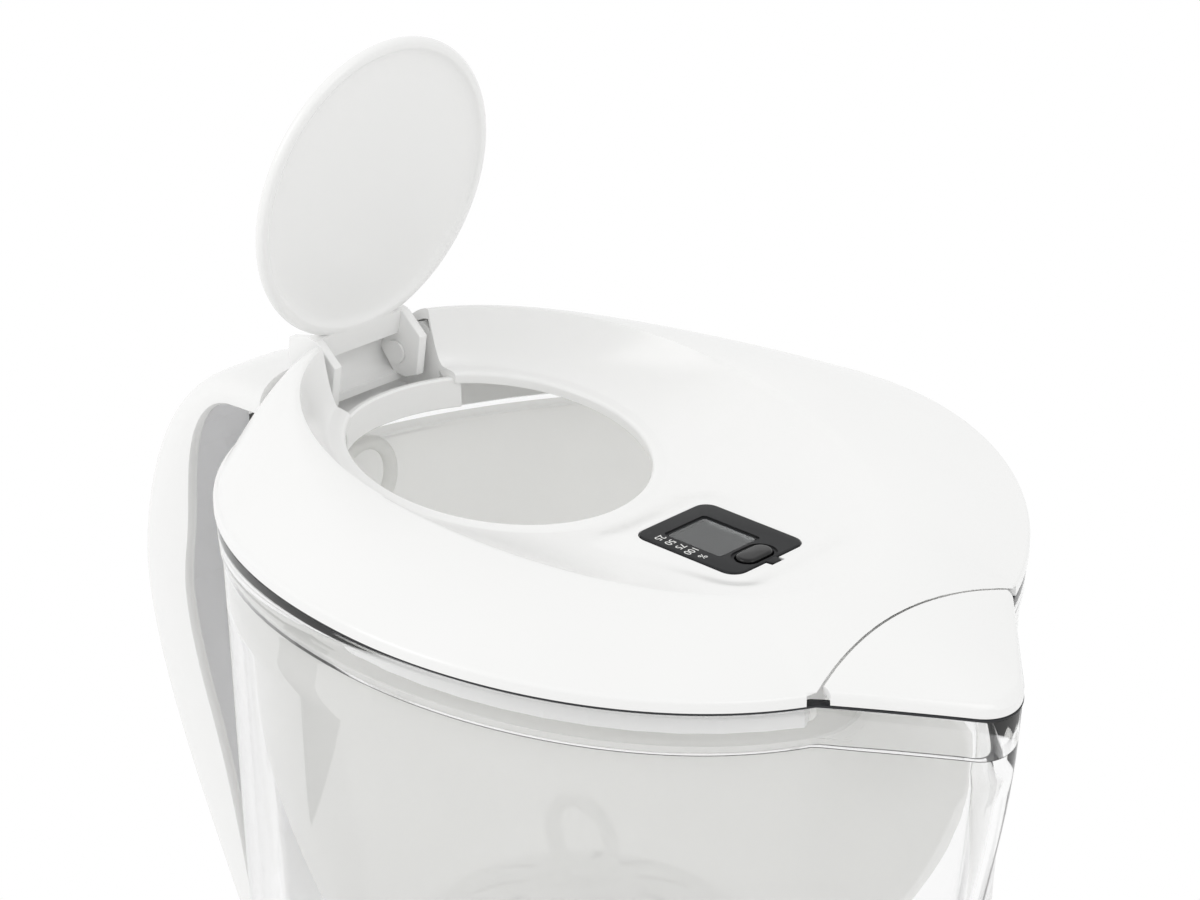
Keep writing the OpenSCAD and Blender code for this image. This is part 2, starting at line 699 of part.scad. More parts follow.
module lid_cover() {
    color(white) {
        difference() {
            lid_shell();
            translate([tub_rear, -tub_half, rim_height - 20])
                cube([slot_front - tub_rear, 2 * tub_half, 60]);
            at_meter() translate([0, 0, -12])
                rounded_plate(meter_length + 2 * gap, meter_width + 2 * gap, 3 + gap, 30);
            at_meter() translate([meter_length / 2 - 1, -tab_width / 2 - gap, -bezel_plate - gap])
                cube([tab_reach + 1 + gap, tab_width + 2 * gap, 10]);
        }
        hinge_tub();
        hole_band();
    }
}

// Inner frame of the lid: the skirt in the jug's mouth and the pour flap's bearing
frame_out = rim_in + 1;
frame_wall = 1.8;
pour_axis_x = pour_seam_x + 6.2;
pour_axis_z = rim_z(kink[0]) + lid_edge + seam_lift - 5.3;
pour_lug = 1.9;
pour_lug_half = 5;
pour_bore = pour_pin_radius + pin_play;
function frame_ring(inset, drop) = let (r = lid_rim_ring(inset)) [for (i = [0 : mark_count - 1])
    [r[i][0], r[i][1], rim_z(lid_rim[i][0]) - drop]];
function frame_top(inset) = let (r = lid_rim_ring(inset)) [for (i = [0 : mark_count - 1])
    [r[i][0], r[i][1], edge_low(marks[i], lid_rim[i]) - 0.02
        + (marks[i][1] < 0 ? 0.6 : -1)]];
module lid_frame() {
    color(white) difference() {
        union() {
            loft([frame_ring(frame_out, skirt_depth), frame_top(frame_out),
                frame_top(frame_out + frame_wall),
                frame_ring(frame_out + frame_wall, skirt_depth)], false);
            translate([pour_axis_x, 0, pour_axis_z]) {
                rod(pour_lug, 2 * pour_lug_half);
                translate([-pour_axis_x + pour_seam_x - frame_out - frame_wall / 2,
                    -pour_lug_half, -pour_lug - 1])
                    cube([pour_axis_x - pour_seam_x + frame_out + frame_wall / 2,
                        2 * pour_lug_half, 2.1]);
            }
        }
        translate([pour_axis_x, 0, pour_axis_z]) rod(pour_bore, 3 * pour_lug_half);
    }
}

seal_inset = 0.1;
seal_drop = 0.02;
module lid_seal() {
    outline = [for (m = marks) outline_point(m, 1)];
    outer = inset_ring(outline, seal_inset);
    inner = inset_ring(outline, seal_width);
    function at(ring, drop) = [for (i = [0 : mark_count - 1])
        [ring[i][0], ring[i][1], rim_z(outline[i][0]) - drop]];
    color(dark) loft([at(outer, seal_height), at(outer, seal_drop), at(inner, seal_drop),
        at(inner, seal_height)], false);
}

// Refill flap, drawn closed with its hinge at the origin and turned open
disc_radius = hole_radius + flap_overlap;
disc_low = -flap_lift + 0.6;
lip_round = 0.8;
dish_deep = 1.3;
disc_crown = 0.4;
web_in = 4.4;
web_out = 6.2;
module at_flap() {
    translate([hinge_x, 0, hinge_z]) rotate([0, hole_tilt - flap_open, 0]) children();
}
cheek_profile = [[-2.7, -6.3], [5.9, -6], [9.5, -0.4], [9.5, disc_low + flap_plate], [7.4, 7.4],
    [3.6, 7.2], [0, 5.6], [-4.8, 0], [-4.6, -3.4]];
module refill_flap() {
    half = flap_arm_width / 2;
    color(white) at_flap() difference() {
        union() {
            translate([flap_reach, 0, disc_low]) rotate_extrude($fn = 160) polygon(concat(
                [[0, dish_deep], [disc_radius - flap_lip - 4, 0.75 * dish_deep],
                    [disc_radius - flap_lip - 1, 0.45 * dish_deep],
                    [disc_radius - flap_lip, 0], [disc_radius - lip_round, 0]],
                [for (a = [-60 : 30 : 90]) [disc_radius - flap_plate / 2 * (1 - cos(a)),
                    flap_plate / 2 * (1 + sin(a))]],
                [[0, flap_plate + disc_crown]]));
            for (side = [-1, 1]) translate([0, side * (half - flap_cheek / 2), 0])
                rotate([90, 0, 0]) linear_extrude(flap_cheek, center = true) polygon(cheek_profile);
            rotate([90, 0, 0]) linear_extrude(2 * half - flap_cheek, center = true)
                polygon(concat([for (a = [10 : 10 : 190]) web_out * [cos(a), sin(a)]],
                    [for (a = [190 : -10 : 10]) web_in * [cos(a), sin(a)]]));
            translate([web_in, -half + 0.1, disc_low])
                cube([9.6 - web_in, 2 * half - 0.2, flap_plate]);
        }
        rod(bore_radius, 2 * half + 2);
    }
}

pin_head = 2.5;
pin_head_plate = 0.6;
module flap_hinge_pins() {
    half = flap_arm_width / 2;
    long = tub_half + tub_wall - half + flap_cheek;
    color(white) at_flap() for (side = [-1, 1]) {
        translate([0, side * (half - flap_cheek + long / 2), 0]) rod(flap_pin_radius, long);
        translate([0, side * (half - flap_cheek - pin_play - pin_head_plate / 2), 0])
            rod(pin_head, pin_head_plate);
    }
}

// Pour flap: cross-sections from side to side, each from the seam to the spout's edge
pour_steps = [0, 0.12, 0.3, 0.5, 0.7, 0.86, 1];
pour_list = concat([for (u = [0.93, 0.8, 0.6, 0.4, 0.22, 0.14, 0.07]) [u, -1]], [[0, 1]],
    [for (u = [0.07, 0.14, 0.22, 0.4, 0.6, 0.8, 0.93]) [u, 1]]);
pour_share = 0.998;
pour_curve = 1.35;
function pour_top(q, v) = let (
    a = mirrored(seam_point(q[0]), q[1]) + [pour_gap, 0],
    b = mirrored(spout_point(q[0]), q[1]) * pour_share,
    p = mix(a, b, v),
    za = rim_z(kink[0]) + lid_edge + seam_lift * (1 - q[0] * q[0]),
    zb = rim_z(b[0]) + lid_edge)
    [p[0], p[1], mix(za, zb, pow(v, pour_curve))];
function pour_low(q, v) = let (t = pour_top(q, v), b = pour_top(q, 1))
    [t[0], t[1], max(t[2] - pour_plate, rim_z(b[0]) + gap)];
module pour_flap() {
    rings = [for (q = pour_list) concat([for (v = pour_steps) pour_top(q, v)],
        [for (k = [len(pour_steps) - 1 : -1 : 0]) pour_low(q, pour_steps[k])])];
    reach = (pour_pin_length - 2 * pour_lug_half) / 2 - gap;
    color(white) difference() {
        union() {
            strip_loft(rings);
            for (side = [-1, 1])
                translate([pour_axis_x, side * (pour_lug_half + gap + reach / 2), pour_axis_z]) {
                    rod(pour_lug, reach);
                    translate([-1.2, -reach / 2, 0]) cube([2.4, reach, 2.9]);
                }
        }
        translate([pour_axis_x, 0, pour_axis_z]) rod(pour_bore, pour_pin_length + 4);
    }
}

module pour_flap_pin() {
    color("silver") translate([pour_axis_x, 0, pour_axis_z])
        rod(pour_pin_radius, pour_pin_length);
}

// Meter, drawn flat with its face at the origin
window_length = 13;
window_width = 11;
window_x = -1.5;
window_y = -0.5;
button_length = 4.4;
button_width = 8.6;
button_x = 9.1;
button_y = -0.9;
case_wall = 1;
meter_round = 3;
fit = 0.05;
board_drop = 4.4;
board_plate = 1;
dome_height = 0.85;
button_proud = 0.6;
cell_radius = 5;
cell_plate = 2;

// Oval plate along Y
module oval_plate(l, w, h) {
    linear_extrude(h) union() {
        square([l, w - l], center = true);
        for (y = [-1, 1]) translate([0, y * (w - l) / 2]) circle(d = l, $fn = 48);
    }
}

module meter_bezel() {
    color(dark) at_meter() difference() {
        union() {
            translate([0, 0, -bezel_plate])
                rounded_plate(meter_length, meter_width, meter_round, bezel_plate);
            translate([meter_length / 2 - 0.5, -tab_width / 2, -bezel_plate])
                cube([tab_reach + 0.5, tab_width, bezel_plate]);
        }
        translate([window_x - window_length / 2, window_y - window_width / 2, -bezel_plate - 1])
            cube([window_length, window_width, bezel_plate + 2]);
        translate([button_x, button_y, -bezel_plate - 1])
            oval_plate(button_length + 2 * gap, button_width + 2 * gap, bezel_plate + 2);
    }
}

module meter_case() {
    inside = meter_length - 2 * case_wall;
    color(dark) at_meter() difference() {
        translate([0, 0, -meter_depth])
            rounded_plate(meter_length - 2 * fit, meter_width - 2 * fit, meter_round,
                meter_depth - bezel_plate - fit);
        translate([0, 0, case_wall - meter_depth])
            rounded_plate(inside, meter_width - 2 * case_wall, meter_round - case_wall, meter_depth);
    }
}

module meter_lens() {
    color([0.4, 0.42, 0.42, 0.5]) at_meter()
        translate([window_x, window_y, -bezel_plate + fit])
            rounded_plate(window_length - 2 * fit, window_width - 2 * fit, 0.6, bezel_plate - 0.4);
}

module meter_display() {
    color([0.45, 0.47, 0.45]) at_meter()
        translate([window_x, window_y, -bezel_plate - 1.3])
            rounded_plate(window_length - 0.4, window_width + 1, 0.4, 1.2);
}

module meter_board() {
    color("darkgreen") at_meter() translate([0, 0, -board_drop - board_plate])
        rounded_plate(meter_length - 2 * case_wall - 2 * gap,
            meter_width - 2 * case_wall - 2 * gap, meter_round - case_wall, board_plate);
}

module meter_cell() {
    drop = board_drop + board_plate + fit + cell_plate;
    color("silver") at_meter() translate([window_x, window_y, -drop])
        cylinder(h = cell_plate, r = cell_radius, $fn = 64);
}

module meter_button() {
    color([0.08, 0.08, 0.08]) at_meter() translate([button_x, button_y, 0]) {
        foot = board_drop - dome_height - button_travel - fit;
        translate([0, 0, -foot]) oval_plate(button_length, button_width, foot + button_proud);
    }
}

module meter_button_dome() {
    color("silver") at_meter() translate([button_x, button_y, -board_drop])
        rotate_extrude($fn = 48) polygon([[0, dome_height - 0.25], [1.2, dome_height - 0.35],
            [1.9, 0], [2.2, 0], [1.3, dome_height - 0.1], [0, dome_height]]);
}

jug_body();
handle_shell();
handle_liner();
reservoir_funnel();
cartridge_cup();
cartridge_cap();
cartridge_pull_ring();
cartridge_seal();
cartridge_grid();
fleece_disc();
resin_bed();
carbon_bed();
lid_cover();
lid_frame();
lid_seal();
refill_flap();
flap_hinge_pins();
pour_flap();
pour_flap_pin();
meter_case();
meter_bezel();
meter_lens();
meter_display();
meter_board();
meter_cell();
meter_button();
meter_button_dome();
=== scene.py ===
import math
import bpy
import bmesh
import numpy as np
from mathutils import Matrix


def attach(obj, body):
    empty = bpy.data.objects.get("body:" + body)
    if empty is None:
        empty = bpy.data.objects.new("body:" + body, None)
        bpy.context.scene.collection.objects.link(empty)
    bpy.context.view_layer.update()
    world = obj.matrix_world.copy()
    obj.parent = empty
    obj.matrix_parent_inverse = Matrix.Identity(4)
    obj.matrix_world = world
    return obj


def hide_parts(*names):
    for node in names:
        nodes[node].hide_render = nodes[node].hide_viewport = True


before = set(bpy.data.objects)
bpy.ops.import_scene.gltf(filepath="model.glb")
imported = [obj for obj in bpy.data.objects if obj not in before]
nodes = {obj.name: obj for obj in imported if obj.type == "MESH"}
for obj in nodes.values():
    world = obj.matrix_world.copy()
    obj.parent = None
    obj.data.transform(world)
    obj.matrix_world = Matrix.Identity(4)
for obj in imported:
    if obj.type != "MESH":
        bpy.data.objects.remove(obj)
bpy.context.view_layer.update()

MM = 0.001

# Sizes of the pitcher in millimetres. Values and formulas are those of the CAD source, but edges
# are rounded finer here, the gasket is thinner and the pour flap's front edge reaches lower
RIM_HEIGHT, RIM_SLOPE, RIM_BEND = 240, -0.0459, -0.00129
HALF_WIDTH, WIDEST_X, FRONT_LENGTH, REAR_LENGTH, REAR_POWER = 80, 11.7, 70.5, 95, 4 / 3
JUG_WALL, JUG_FLOOR, JUG_TAPER, BASE_ROUND = 2.4, 3.2, 0.00048, 9
COLLAR_HEIGHT, COLLAR_STEP, RIM_INSET, GRIP_RECESS, GRIP_HALF = 6.9, 0.9, 0.3, 8, 36
ARCH_START, ARCH_FADE, GRIP_TOP, GRIP_LOW, GRIP_FADE = 20, 110, 14, 126, 30
WALL_LOW, WALL_RINGS = 226, 46
BRACKET_BACK, BRACKET_BITE, BRACKET_DROP, BRACKET_FOOT = 4.7, 1.5, 13.5, 7
BRACKET_HALF, BRACKET_PLATE, BRACKET_TOP = 10, 3.8, 1.1
SPOUT_TIP_X, SPOUT_RADIUS, SPOUT_ANGLE, SPOUT_FADE, TIP_SHARE = 98.6, 11.6, 21.9, 150, 0.22
GAP, PIN_PLAY = 0.3, 0.05
LID_WALL, LID_EDGE, LID_ROUND = 2.2, 2.5, 0.9
JUG_REAR = WIDEST_X - REAR_LENGTH
HOLE_RADIUS, HOLE_X, HOLE_RISE, HOLE_TILT = 30.6, JUG_REAR + 56.7, 1.8, math.radians(9.54)
DISH_HALF_WIDTH, DISH_FRONT, DISH_X = 48.3, 70.5, -10
DISH_REAR = DISH_X - JUG_REAR - 20.3
CREST_RISE, CREST_SLOPE, PAD_MARGIN = 8.6, -0.165, 3.2
REAR_LIFT, REAR_LIFT_HALF, SEAM_X, SEAM_LIFT = 7.6, 19, 72.8, 4.2
METER_LENGTH, METER_WIDTH, METER_X, METER_RISE = 25, 21.4, 30.2, -1.9
METER_TILT, METER_FADE, METER_PROUD, METER_ROUND = math.radians(3), 9, 0.3, 3
LEDGE_DEPTH, LEDGE_WIDTH, FUNNEL_WALL, FUNNEL_DEPTH, FUNNEL_DRAW = 9.5, 2.2, 2, 100, 0.5
FUNNEL_START, SEAL_HEIGHT, SEAL_INSET, SEAL_DROP = 34, 0.6, 0.1, 0.02
CUP_RADIUS, CUP_X, SOCKET_WALL, SOCKET_DEPTH, FLOOR_FALL = 28, -5, 2, 34, 5
SOCKET_PLAY, SOCKET_LIP, SOCKET_EASE, SOCKET_TURN_IN = 0.6, 3.4, 4, 0.12
RING_RADIUS, RING_WIRE, RING_BACK, RING_DROP = 8, 1.5, 10.8, 16
RING_BAR_LENGTH, RING_BAR_WIDTH, RING_BAR_HEIGHT = 9.3, 6, 2.6
HANDLE_WIDTH, HANDLE_WALL, HANDLE_X, HANDLE_DEPTH, HANDLE_TOP_DEPTH = 30, 2.6, -123, 19, 6.2
FLAP_REACH, FLAP_LIFT, FLAP_OPEN, FLAP_PLATE = 39.8, 0.5, math.radians(89.4), 2.2
FLAP_PIN, FLAP_ARM_WIDTH, FLAP_CHEEK, FLAP_LIP, FLAP_OVERLAP = 2, 26.8, 2.2, 2, 1.3
POUR_GAP, POUR_PLATE, POUR_PIN_LENGTH = 0.4, 1.6, 21
POUR_LUG, POUR_LUG_HALF, POUR_BORE, POUR_LUG_HIGH, POUR_LUG_THIN = 1.9, 5, 1.05, 2.9, 1.2
HINGE_X = HOLE_X - FLAP_REACH * math.cos(HOLE_TILT) + FLAP_LIFT * math.sin(HOLE_TILT)
HINGE_Z = (RIM_HEIGHT + HOLE_RISE + FLAP_REACH * math.sin(HOLE_TILT)
           + FLAP_LIFT * math.cos(HOLE_TILT))


# ---------- shape rules shared by the moulded parts ----------

def smooth(v):
    c = np.clip(v, 0, 1)
    return c * c * (3 - 2 * c)


def mix(a, b, v):
    return a + (b - a) * v


def stack(x, y):
    return np.stack([x, y], axis=-1)


def rim_z(x):
    return RIM_HEIGHT + RIM_SLOPE * x + RIM_BEND * x * x


def oval(t):
    """The jug's plain oval at angles t about its widest section."""
    c, s = np.cos(t), np.sin(t)
    front = stack(WIDEST_X + FRONT_LENGTH * c, HALF_WIDTH * s)
    rear = stack(WIDEST_X + REAR_LENGTH * c, HALF_WIDTH * np.sign(s) * np.abs(s) ** REAR_POWER)
    return np.where((c > 0)[..., None], front, rear)


def rear_x(y):
    return WIDEST_X - REAR_LENGTH * np.sqrt(1 - (np.abs(y) / HALF_WIDTH) ** (2 / REAR_POWER))


KINK = oval(np.array([math.radians(SPOUT_ANGLE)]))[0]
TIP_CENTRE = np.array([SPOUT_TIP_X - SPOUT_RADIUS, 0])
TIP_TURN = (math.atan2(KINK[1], KINK[0] - TIP_CENTRE[0])
            - math.acos(SPOUT_RADIUS / np.linalg.norm(KINK - TIP_CENTRE)))
BEAK = np.concatenate([np.linspace(0, TIP_SHARE, 10)[1:], np.linspace(TIP_SHARE, 1, 20)[1:]])
OVAL_STEPS = 210
turn = np.radians(SPOUT_ANGLE)
ANGLES = np.concatenate([[0], BEAK * turn,
                         turn + np.arange(1, OVAL_STEPS) * (2 * math.pi - 2 * turn) / OVAL_STEPS,
                         2 * math.pi - BEAK[::-1] * turn])
SHARES = np.concatenate([[0], BEAK, -np.ones(OVAL_STEPS - 1), BEAK[::-1]])
ON_BEAK = SHARES >= 0
U = np.where(ON_BEAK, SHARES, 1)
SIDE = np.where(ANGLES > math.pi, -1, 1)


def spout_point(u):
    a = TIP_TURN * np.minimum(u / TIP_SHARE, 1)
    tip = TIP_CENTRE + SPOUT_RADIUS * stack(np.cos(a), np.sin(a))
    v = np.clip((u - TIP_SHARE) / (1 - TIP_SHARE), 0, 1)
    return mix(tip, KINK, v[..., None])


def sided(p, side):
    return stack(p[..., 0], p[..., 1] * side)


def seam_point(u):
    return stack(mix(SEAM_X, KINK[0], u * u), KINK[1] * u)


OVAL_RING = oval(ANGLES)
SPOUT_RING = np.where(ON_BEAK[:, None], sided(spout_point(U), SIDE), OVAL_RING)
LID_RIM = np.where(ON_BEAK[:, None], sided(seam_point(U), SIDE), OVAL_RING)


def inset(ring, distance):
    """A ring moved inwards along its own normals, by one distance or one for each point."""
    run = np.roll(ring, -1, axis=0) - np.roll(ring, 1, axis=0)
    normal = stack(-run[:, 1], run[:, 0]) / np.linalg.norm(run, axis=1)[:, None]
    return ring + normal * np.broadcast_to(distance, len(ring))[:, None]


def raised(ring, z):
    return np.column_stack([ring, np.broadcast_to(z, len(ring))])


# ---------- mesh making ----------

def piece(name, verts, faces, material, sharp=38):
    """A closed shell from points in millimetres, its faces outwards and its creases kept."""
    verts = np.asarray(verts, float)
    mesh = bpy.data.meshes.new(name)
    mesh.from_pydata((verts * MM).tolist(), [], [list(map(int, f)) for f in faces])
    shell = bmesh.new()
    shell.from_mesh(mesh)
    bmesh.ops.remove_doubles(shell, verts=shell.verts, dist=1e-6)
    bmesh.ops.dissolve_degenerate(shell, edges=shell.edges, dist=1e-7)
    if shell.calc_volume(signed=True) < 0:
        bmesh.ops.reverse_faces(shell, faces=shell.faces)
    shell.to_mesh(mesh)
    shell.free()
    mesh.validate()
    made = bpy.data.objects.new(name, mesh)
    bpy.context.scene.collection.objects.link(made)
    if material is not None:
        mesh.materials.append(material)
    crease(made, sharp)
    return made


def crease(made, degrees):
    for polygon in made.data.polygons:
        polygon.use_smooth = True
    made.data.set_sharp_from_angle(angle=math.radians(degrees))


def loft(rings, capped=True):
    """Points and faces through rings of equal length; not capped means it closes on itself."""
    rings = [np.asarray(r, float) for r in rings]
    n, m = len(rings[0]), len(rings)
    verts = np.concatenate(rings)
    faces = []
    for k in range(m - 1 if capped else m):
        a, b = k * n, ((k + 1) % m) * n
        faces += [(a + i, a + (i + 1) % n, b + (i + 1) % n, b + i) for i in range(n)]
    if capped:
        for start, ring, flip in ((0, rings[0], True), ((m - 1) * n, rings[-1], False)):
            middle = len(verts)
            verts = np.vstack([verts, (ring.max(axis=0) + ring.min(axis=0)) / 2])
            for i in range(n):
                j = (i + 1) % n
                faces.append((start + j, start + i, middle) if flip
                             else (start + i, start + j, middle))
    return verts, faces


def strip_loft(rings):
    """A loft through thin folded strips, with its two ends filled across the strip."""
    verts, faces = loft(rings, capped=True)
    n, m = len(rings[0]), len(rings)
    sides = faces[:(m - 1) * n]
    verts = verts[:n * m]
    half, last = n // 2, (m - 1) * n
    low = [(i + 1, i, n - 1 - i, n - 2 - i) for i in range(half - 1)]
    high = [tuple(last + q for q in reversed(f)) for f in low]
    return verts, sides + low + high


def turned(profile, steps, start=0.0, sweep=2 * math.pi):
    """Points and faces of a closed profile of (radius, height) turned about Z."""
    whole = abs(sweep - 2 * math.pi) < 1e-9
    count = steps if whole else steps + 1
    profile = np.asarray(profile, float)
    rings = []
    for k in range(count):
        a = start + sweep * k / steps
        rings.append(np.column_stack([profile[:, 0] * math.cos(a), profile[:, 0] * math.sin(a),
                                      profile[:, 1]]))
    if whole:
        return loft(rings, capped=False)
    verts, faces = loft(rings, capped=True)
    n = len(profile)
    faces = faces[:(count - 1) * n]
    faces += [tuple(range(n - 1, -1, -1)), tuple(range((count - 1) * n, count * n))]
    return verts[:count * n], faces


def prism(outline, low, high, soften=0.0):
    """Points and faces of a flat outline raised from low to high, its edges softened."""
    outline = np.asarray(outline, float)
    if signed_area(outline) < 0:
        outline = outline[::-1]
    rings = []
    if soften > 0:
        quarter = [math.radians(a) for a in (0, 30, 60, 90)]
        for a in quarter:
            rings.append(raised(inset(outline, soften * (1 - math.sin(a))),
                                low + soften * (1 - math.cos(a))))
        for a in reversed(quarter):
            rings.append(raised(inset(outline, soften * (1 - math.sin(a))),
                                high - soften * (1 - math.cos(a))))
    else:
        rings = [raised(outline, low), raised(outline, high)]
    verts = np.concatenate(rings)
    n, m = len(outline), len(rings)
    faces = []
    for k in range(m - 1):
        a, b = k * n, (k + 1) * n
        faces += [(a + i, a + (i + 1) % n, b + (i + 1) % n, b + i) for i in range(n)]
    faces += [tuple(range(n - 1, -1, -1)), tuple(range((m - 1) * n, m * n))]
    return verts, faces


def signed_area(p):
    q = np.roll(p, -1, axis=0)
    return 0.5 * float(np.sum(p[:, 0] * q[:, 1] - q[:, 0] * p[:, 1]))


def rounded_outline(length, width, radius, steps=8):
    points = []
    for cx, cy, start in ((1, 1, 0), (-1, 1, 90), (-1, -1, 180), (1, -1, 270)):
        for k in range(steps + 1):
            a = math.radians(start + 90 * k / steps)
            points.append((cx * (length / 2 - radius) + radius * math.cos(a),
                           cy * (width / 2 - radius) + radius * math.sin(a)))
    return np.array(points)


def circle_outline(radius, steps=64):
    a = np.arange(steps) * 2 * math.pi / steps
    return stack(radius * np.cos(a), radius * np.sin(a))


def along_y(shape, x, z):
    """A prism's points laid so that its outline is in X and Z and its height runs along Y."""
    verts, faces = shape
    return np.column_stack([verts[:, 0] + x, -verts[:, 2], verts[:, 1] + z]), faces


def merged(*shapes):
    verts, faces = [], []
    for v, f in shapes:
        base = sum(len(w) for w in verts)
        verts.append(np.asarray(v, float))
        faces += [tuple(base + i for i in face) for face in f]
    return np.concatenate(verts), faces


def moved(shape, offset):
    verts, faces = shape
    return np.asarray(verts, float) + np.asarray(offset, float), faces


def pitched(shape, angle, x, z):
    """Turned about Y by an angle and placed at x and z."""
    verts, faces = shape
    c, s = math.cos(angle), math.sin(angle)
    return np.column_stack([verts[:, 0] * c + verts[:, 2] * s + x, verts[:, 1],
                            -verts[:, 0] * s + verts[:, 2] * c + z]), faces


def carve(made, shapes, operation="DIFFERENCE"):
    """Cuts closed shapes out of a piece, or joins them to it."""
    for index, shape in enumerate(shapes):
        tool = piece(f"{made.name}_tool_{index}", shape[0], shape[1], None)
        cut = made.modifiers.new("cut", "BOOLEAN")
        cut.operation, cut.solver, cut.object = operation, "EXACT", tool
        bake(made)
        bpy.data.objects.remove(tool)
    return made


def bake(made):
    """Turns a piece with modifiers into its plain mesh."""
    graph = bpy.context.evaluated_depsgraph_get()
    mesh = bpy.data.meshes.new_from_object(made.evaluated_get(graph))
    made.modifiers.clear()
    old = made.data
    made.data = mesh
    mesh.name = made.name
    bpy.data.meshes.remove(old)
    return made


# ---------- finishes ----------

def colour(code):
    """An sRGB hex colour as linear RGBA."""
    parts = [int(code[k:k + 2], 16) / 255 for k in (1, 3, 5)]
    return [p / 12.92 if p <= 0.04045 else ((p + 0.055) / 1.055) ** 2.4 for p in parts] + [1.0]


def add(tree, kind, settings=None, links=None):
    """Adds a node with its settings and its links from other sockets."""
    node = tree.nodes.new(kind)
    for key, value in (settings or {}).items():
        if key.startswith("."):
            setattr(node, key[1:], value)
        else:
            node.inputs[int(key) if key.isdigit() else key].default_value = value
    for key, source in (links or {}).items():
        tree.links.new(source, node.inputs[int(key) if key.isdigit() else key])
    return node


def finish(name, tint, roughness, ior, grain_mm, depth_mm, shade=0.03, glow=0.0, open_share=0.0,
           clear=False, **more):
    """A plastic whose colour drifts a little and whose skin has a fine moulded grain.

    A share of it, glow, passes light on as a milky wall does; another, open_share, lets what is
    behind show through; clear lets the lamps shine through.
    """
    material = bpy.data.materials.new(name)
    material.use_nodes = True
    tree = material.node_tree
    tree.nodes.clear()
    place = add(tree, "ShaderNodeTexCoord")
    drift = add(tree, "ShaderNodeTexNoise", {"Scale": 1 / (40 * MM), "Detail": 2.0},
                {"Vector": place.outputs["Object"]})
    base = np.array(colour(tint))
    deep = np.append(base[:3] * (1 - shade), 1)
    tinted = add(tree, "ShaderNodeMix", {".data_type": "RGBA", "6": deep, "7": base},
                 {"0": drift.outputs["Fac"]})
    grain = add(tree, "ShaderNodeTexNoise", {"Scale": 1 / (grain_mm * MM), "Detail": 3.0},
                {"Vector": place.outputs["Object"]})
    bump = add(tree, "ShaderNodeBump", {"Strength": 1.0, "Distance": depth_mm * MM},
               {"Height": grain.outputs["Fac"]})
    wear = add(tree, "ShaderNodeMapRange",
               {"To Min": roughness * 0.85, "To Max": min(1.0, roughness * 1.2)},
               {"Value": drift.outputs["Fac"]})
    shader = add(tree, "ShaderNodeBsdfPrincipled", {"IOR": ior, **more},
                 {"Base Color": tinted.outputs[2], "Normal": bump.outputs["Normal"],
                  "Roughness": wear.outputs["Result"]})
    surface = shader.outputs["BSDF"]
    if glow:
        milk = add(tree, "ShaderNodeBsdfTranslucent", {"Color": base})
        surface = add(tree, "ShaderNodeMixShader", {"0": glow},
                      {"1": surface, "2": milk.outputs[0]}).outputs[0]
    if open_share:
        sheer = add(tree, "ShaderNodeBsdfTransparent", {"Color": base})
        surface = add(tree, "ShaderNodeMixShader", {"0": open_share},
                      {"1": surface, "2": sheer.outputs[0]}).outputs[0]
    if clear:
        path = add(tree, "ShaderNodeLightPath")
        light = add(tree, "ShaderNodeMath", {".operation": "MAXIMUM"},
                    {"0": path.outputs["Is Shadow Ray"], "1": path.outputs["Is Diffuse Ray"]})
        open_wall = add(tree, "ShaderNodeBsdfTransparent", {"Color": base})
        surface = add(tree, "ShaderNodeMixShader", None,
                      {"0": light.outputs[0], "1": surface,
                       "2": open_wall.outputs[0]}).outputs[0]
    add(tree, "ShaderNodeOutputMaterial", None, {"Surface": surface})
    return material


# ABS moulded in a polished tool: bright, even and glossy, with the faintest orange peel
white_abs = finish("white_moulded_abs", "#F1F1F0", 0.22, 1.54, 2.5, 0.004)
# ABS from a satin tool, a shade cooler, for the pad inside the handle
liner_abs = finish("satin_grey_abs", "#F0F0F2", 0.42, 1.54, 0.8, 0.006)
# SAN moulded clear in a mirror-finished tool: glass-like, with sharp dark edges
clear_san = finish("clear_moulded_san", "#FCFCFC", 0.02, 1.57, 9.0, 0.002, shade=0.0, clear=True,
                   **{"Transmission Weight": 1.0})
# Natural polypropylene, unfilled: a frosted pale wall that lets light and dim shapes through
frosted_pp = finish("frosted_polypropylene", "#FBFBFA", 0.3, 1.49, 1.6, 0.005, shade=0.0,
                    glow=0.3, open_share=0.5)
# Plain polypropylene of the cartridge: satin, slightly waxy
cartridge_pp = finish("cartridge_polypropylene", "#ECECEA", 0.42, 1.49, 1.0, 0.008)
# Silicone rubber gasket: near black, dull and smooth. On the cartridge seal that is its own colour;
# on the lid's rim the near black is painted shadow, the dark line between lid and jug
silicone_and_shadow_line = finish("dark_silicone_rubber", "#242528", 0.55, 1.41, 0.6, 0.01)
# ABS from a spark-eroded tool: charcoal with a fine even matt grain
meter_abs = finish("charcoal_textured_abs", "#17181A", 0.6, 1.54, 0.25, 0.012, shade=0.08,
                   **{"Specular IOR Level": 0.35})
# ABS from a polished tool: black and shining, as piano keys are
button_abs = finish("gloss_black_abs", "#0C0C0D", 0.2, 1.54, 1.5, 0.003,
                    **{"Specular IOR Level": 0.3})
# Acrylic window, hard coated and lightly smoked
window_acrylic = finish("smoked_acrylic", "#A4A7A8", 0.04, 1.49, 6.0, 0.001, shade=0.0, clear=True,
                        **{"Transmission Weight": 1.0})
# Liquid crystal cell, unlit: dark grey behind its polariser
display_glass = finish("liquid_crystal_cell", "#3E4140", 0.25, 1.5, 0.5, 0.002, shade=0.12)
# Ink printed on the meter's face: flat white with soft edges
white_ink = finish("pad_printed_white_ink", "#E4E4E2", 0.6, 1.5, 0.2, 0.003)
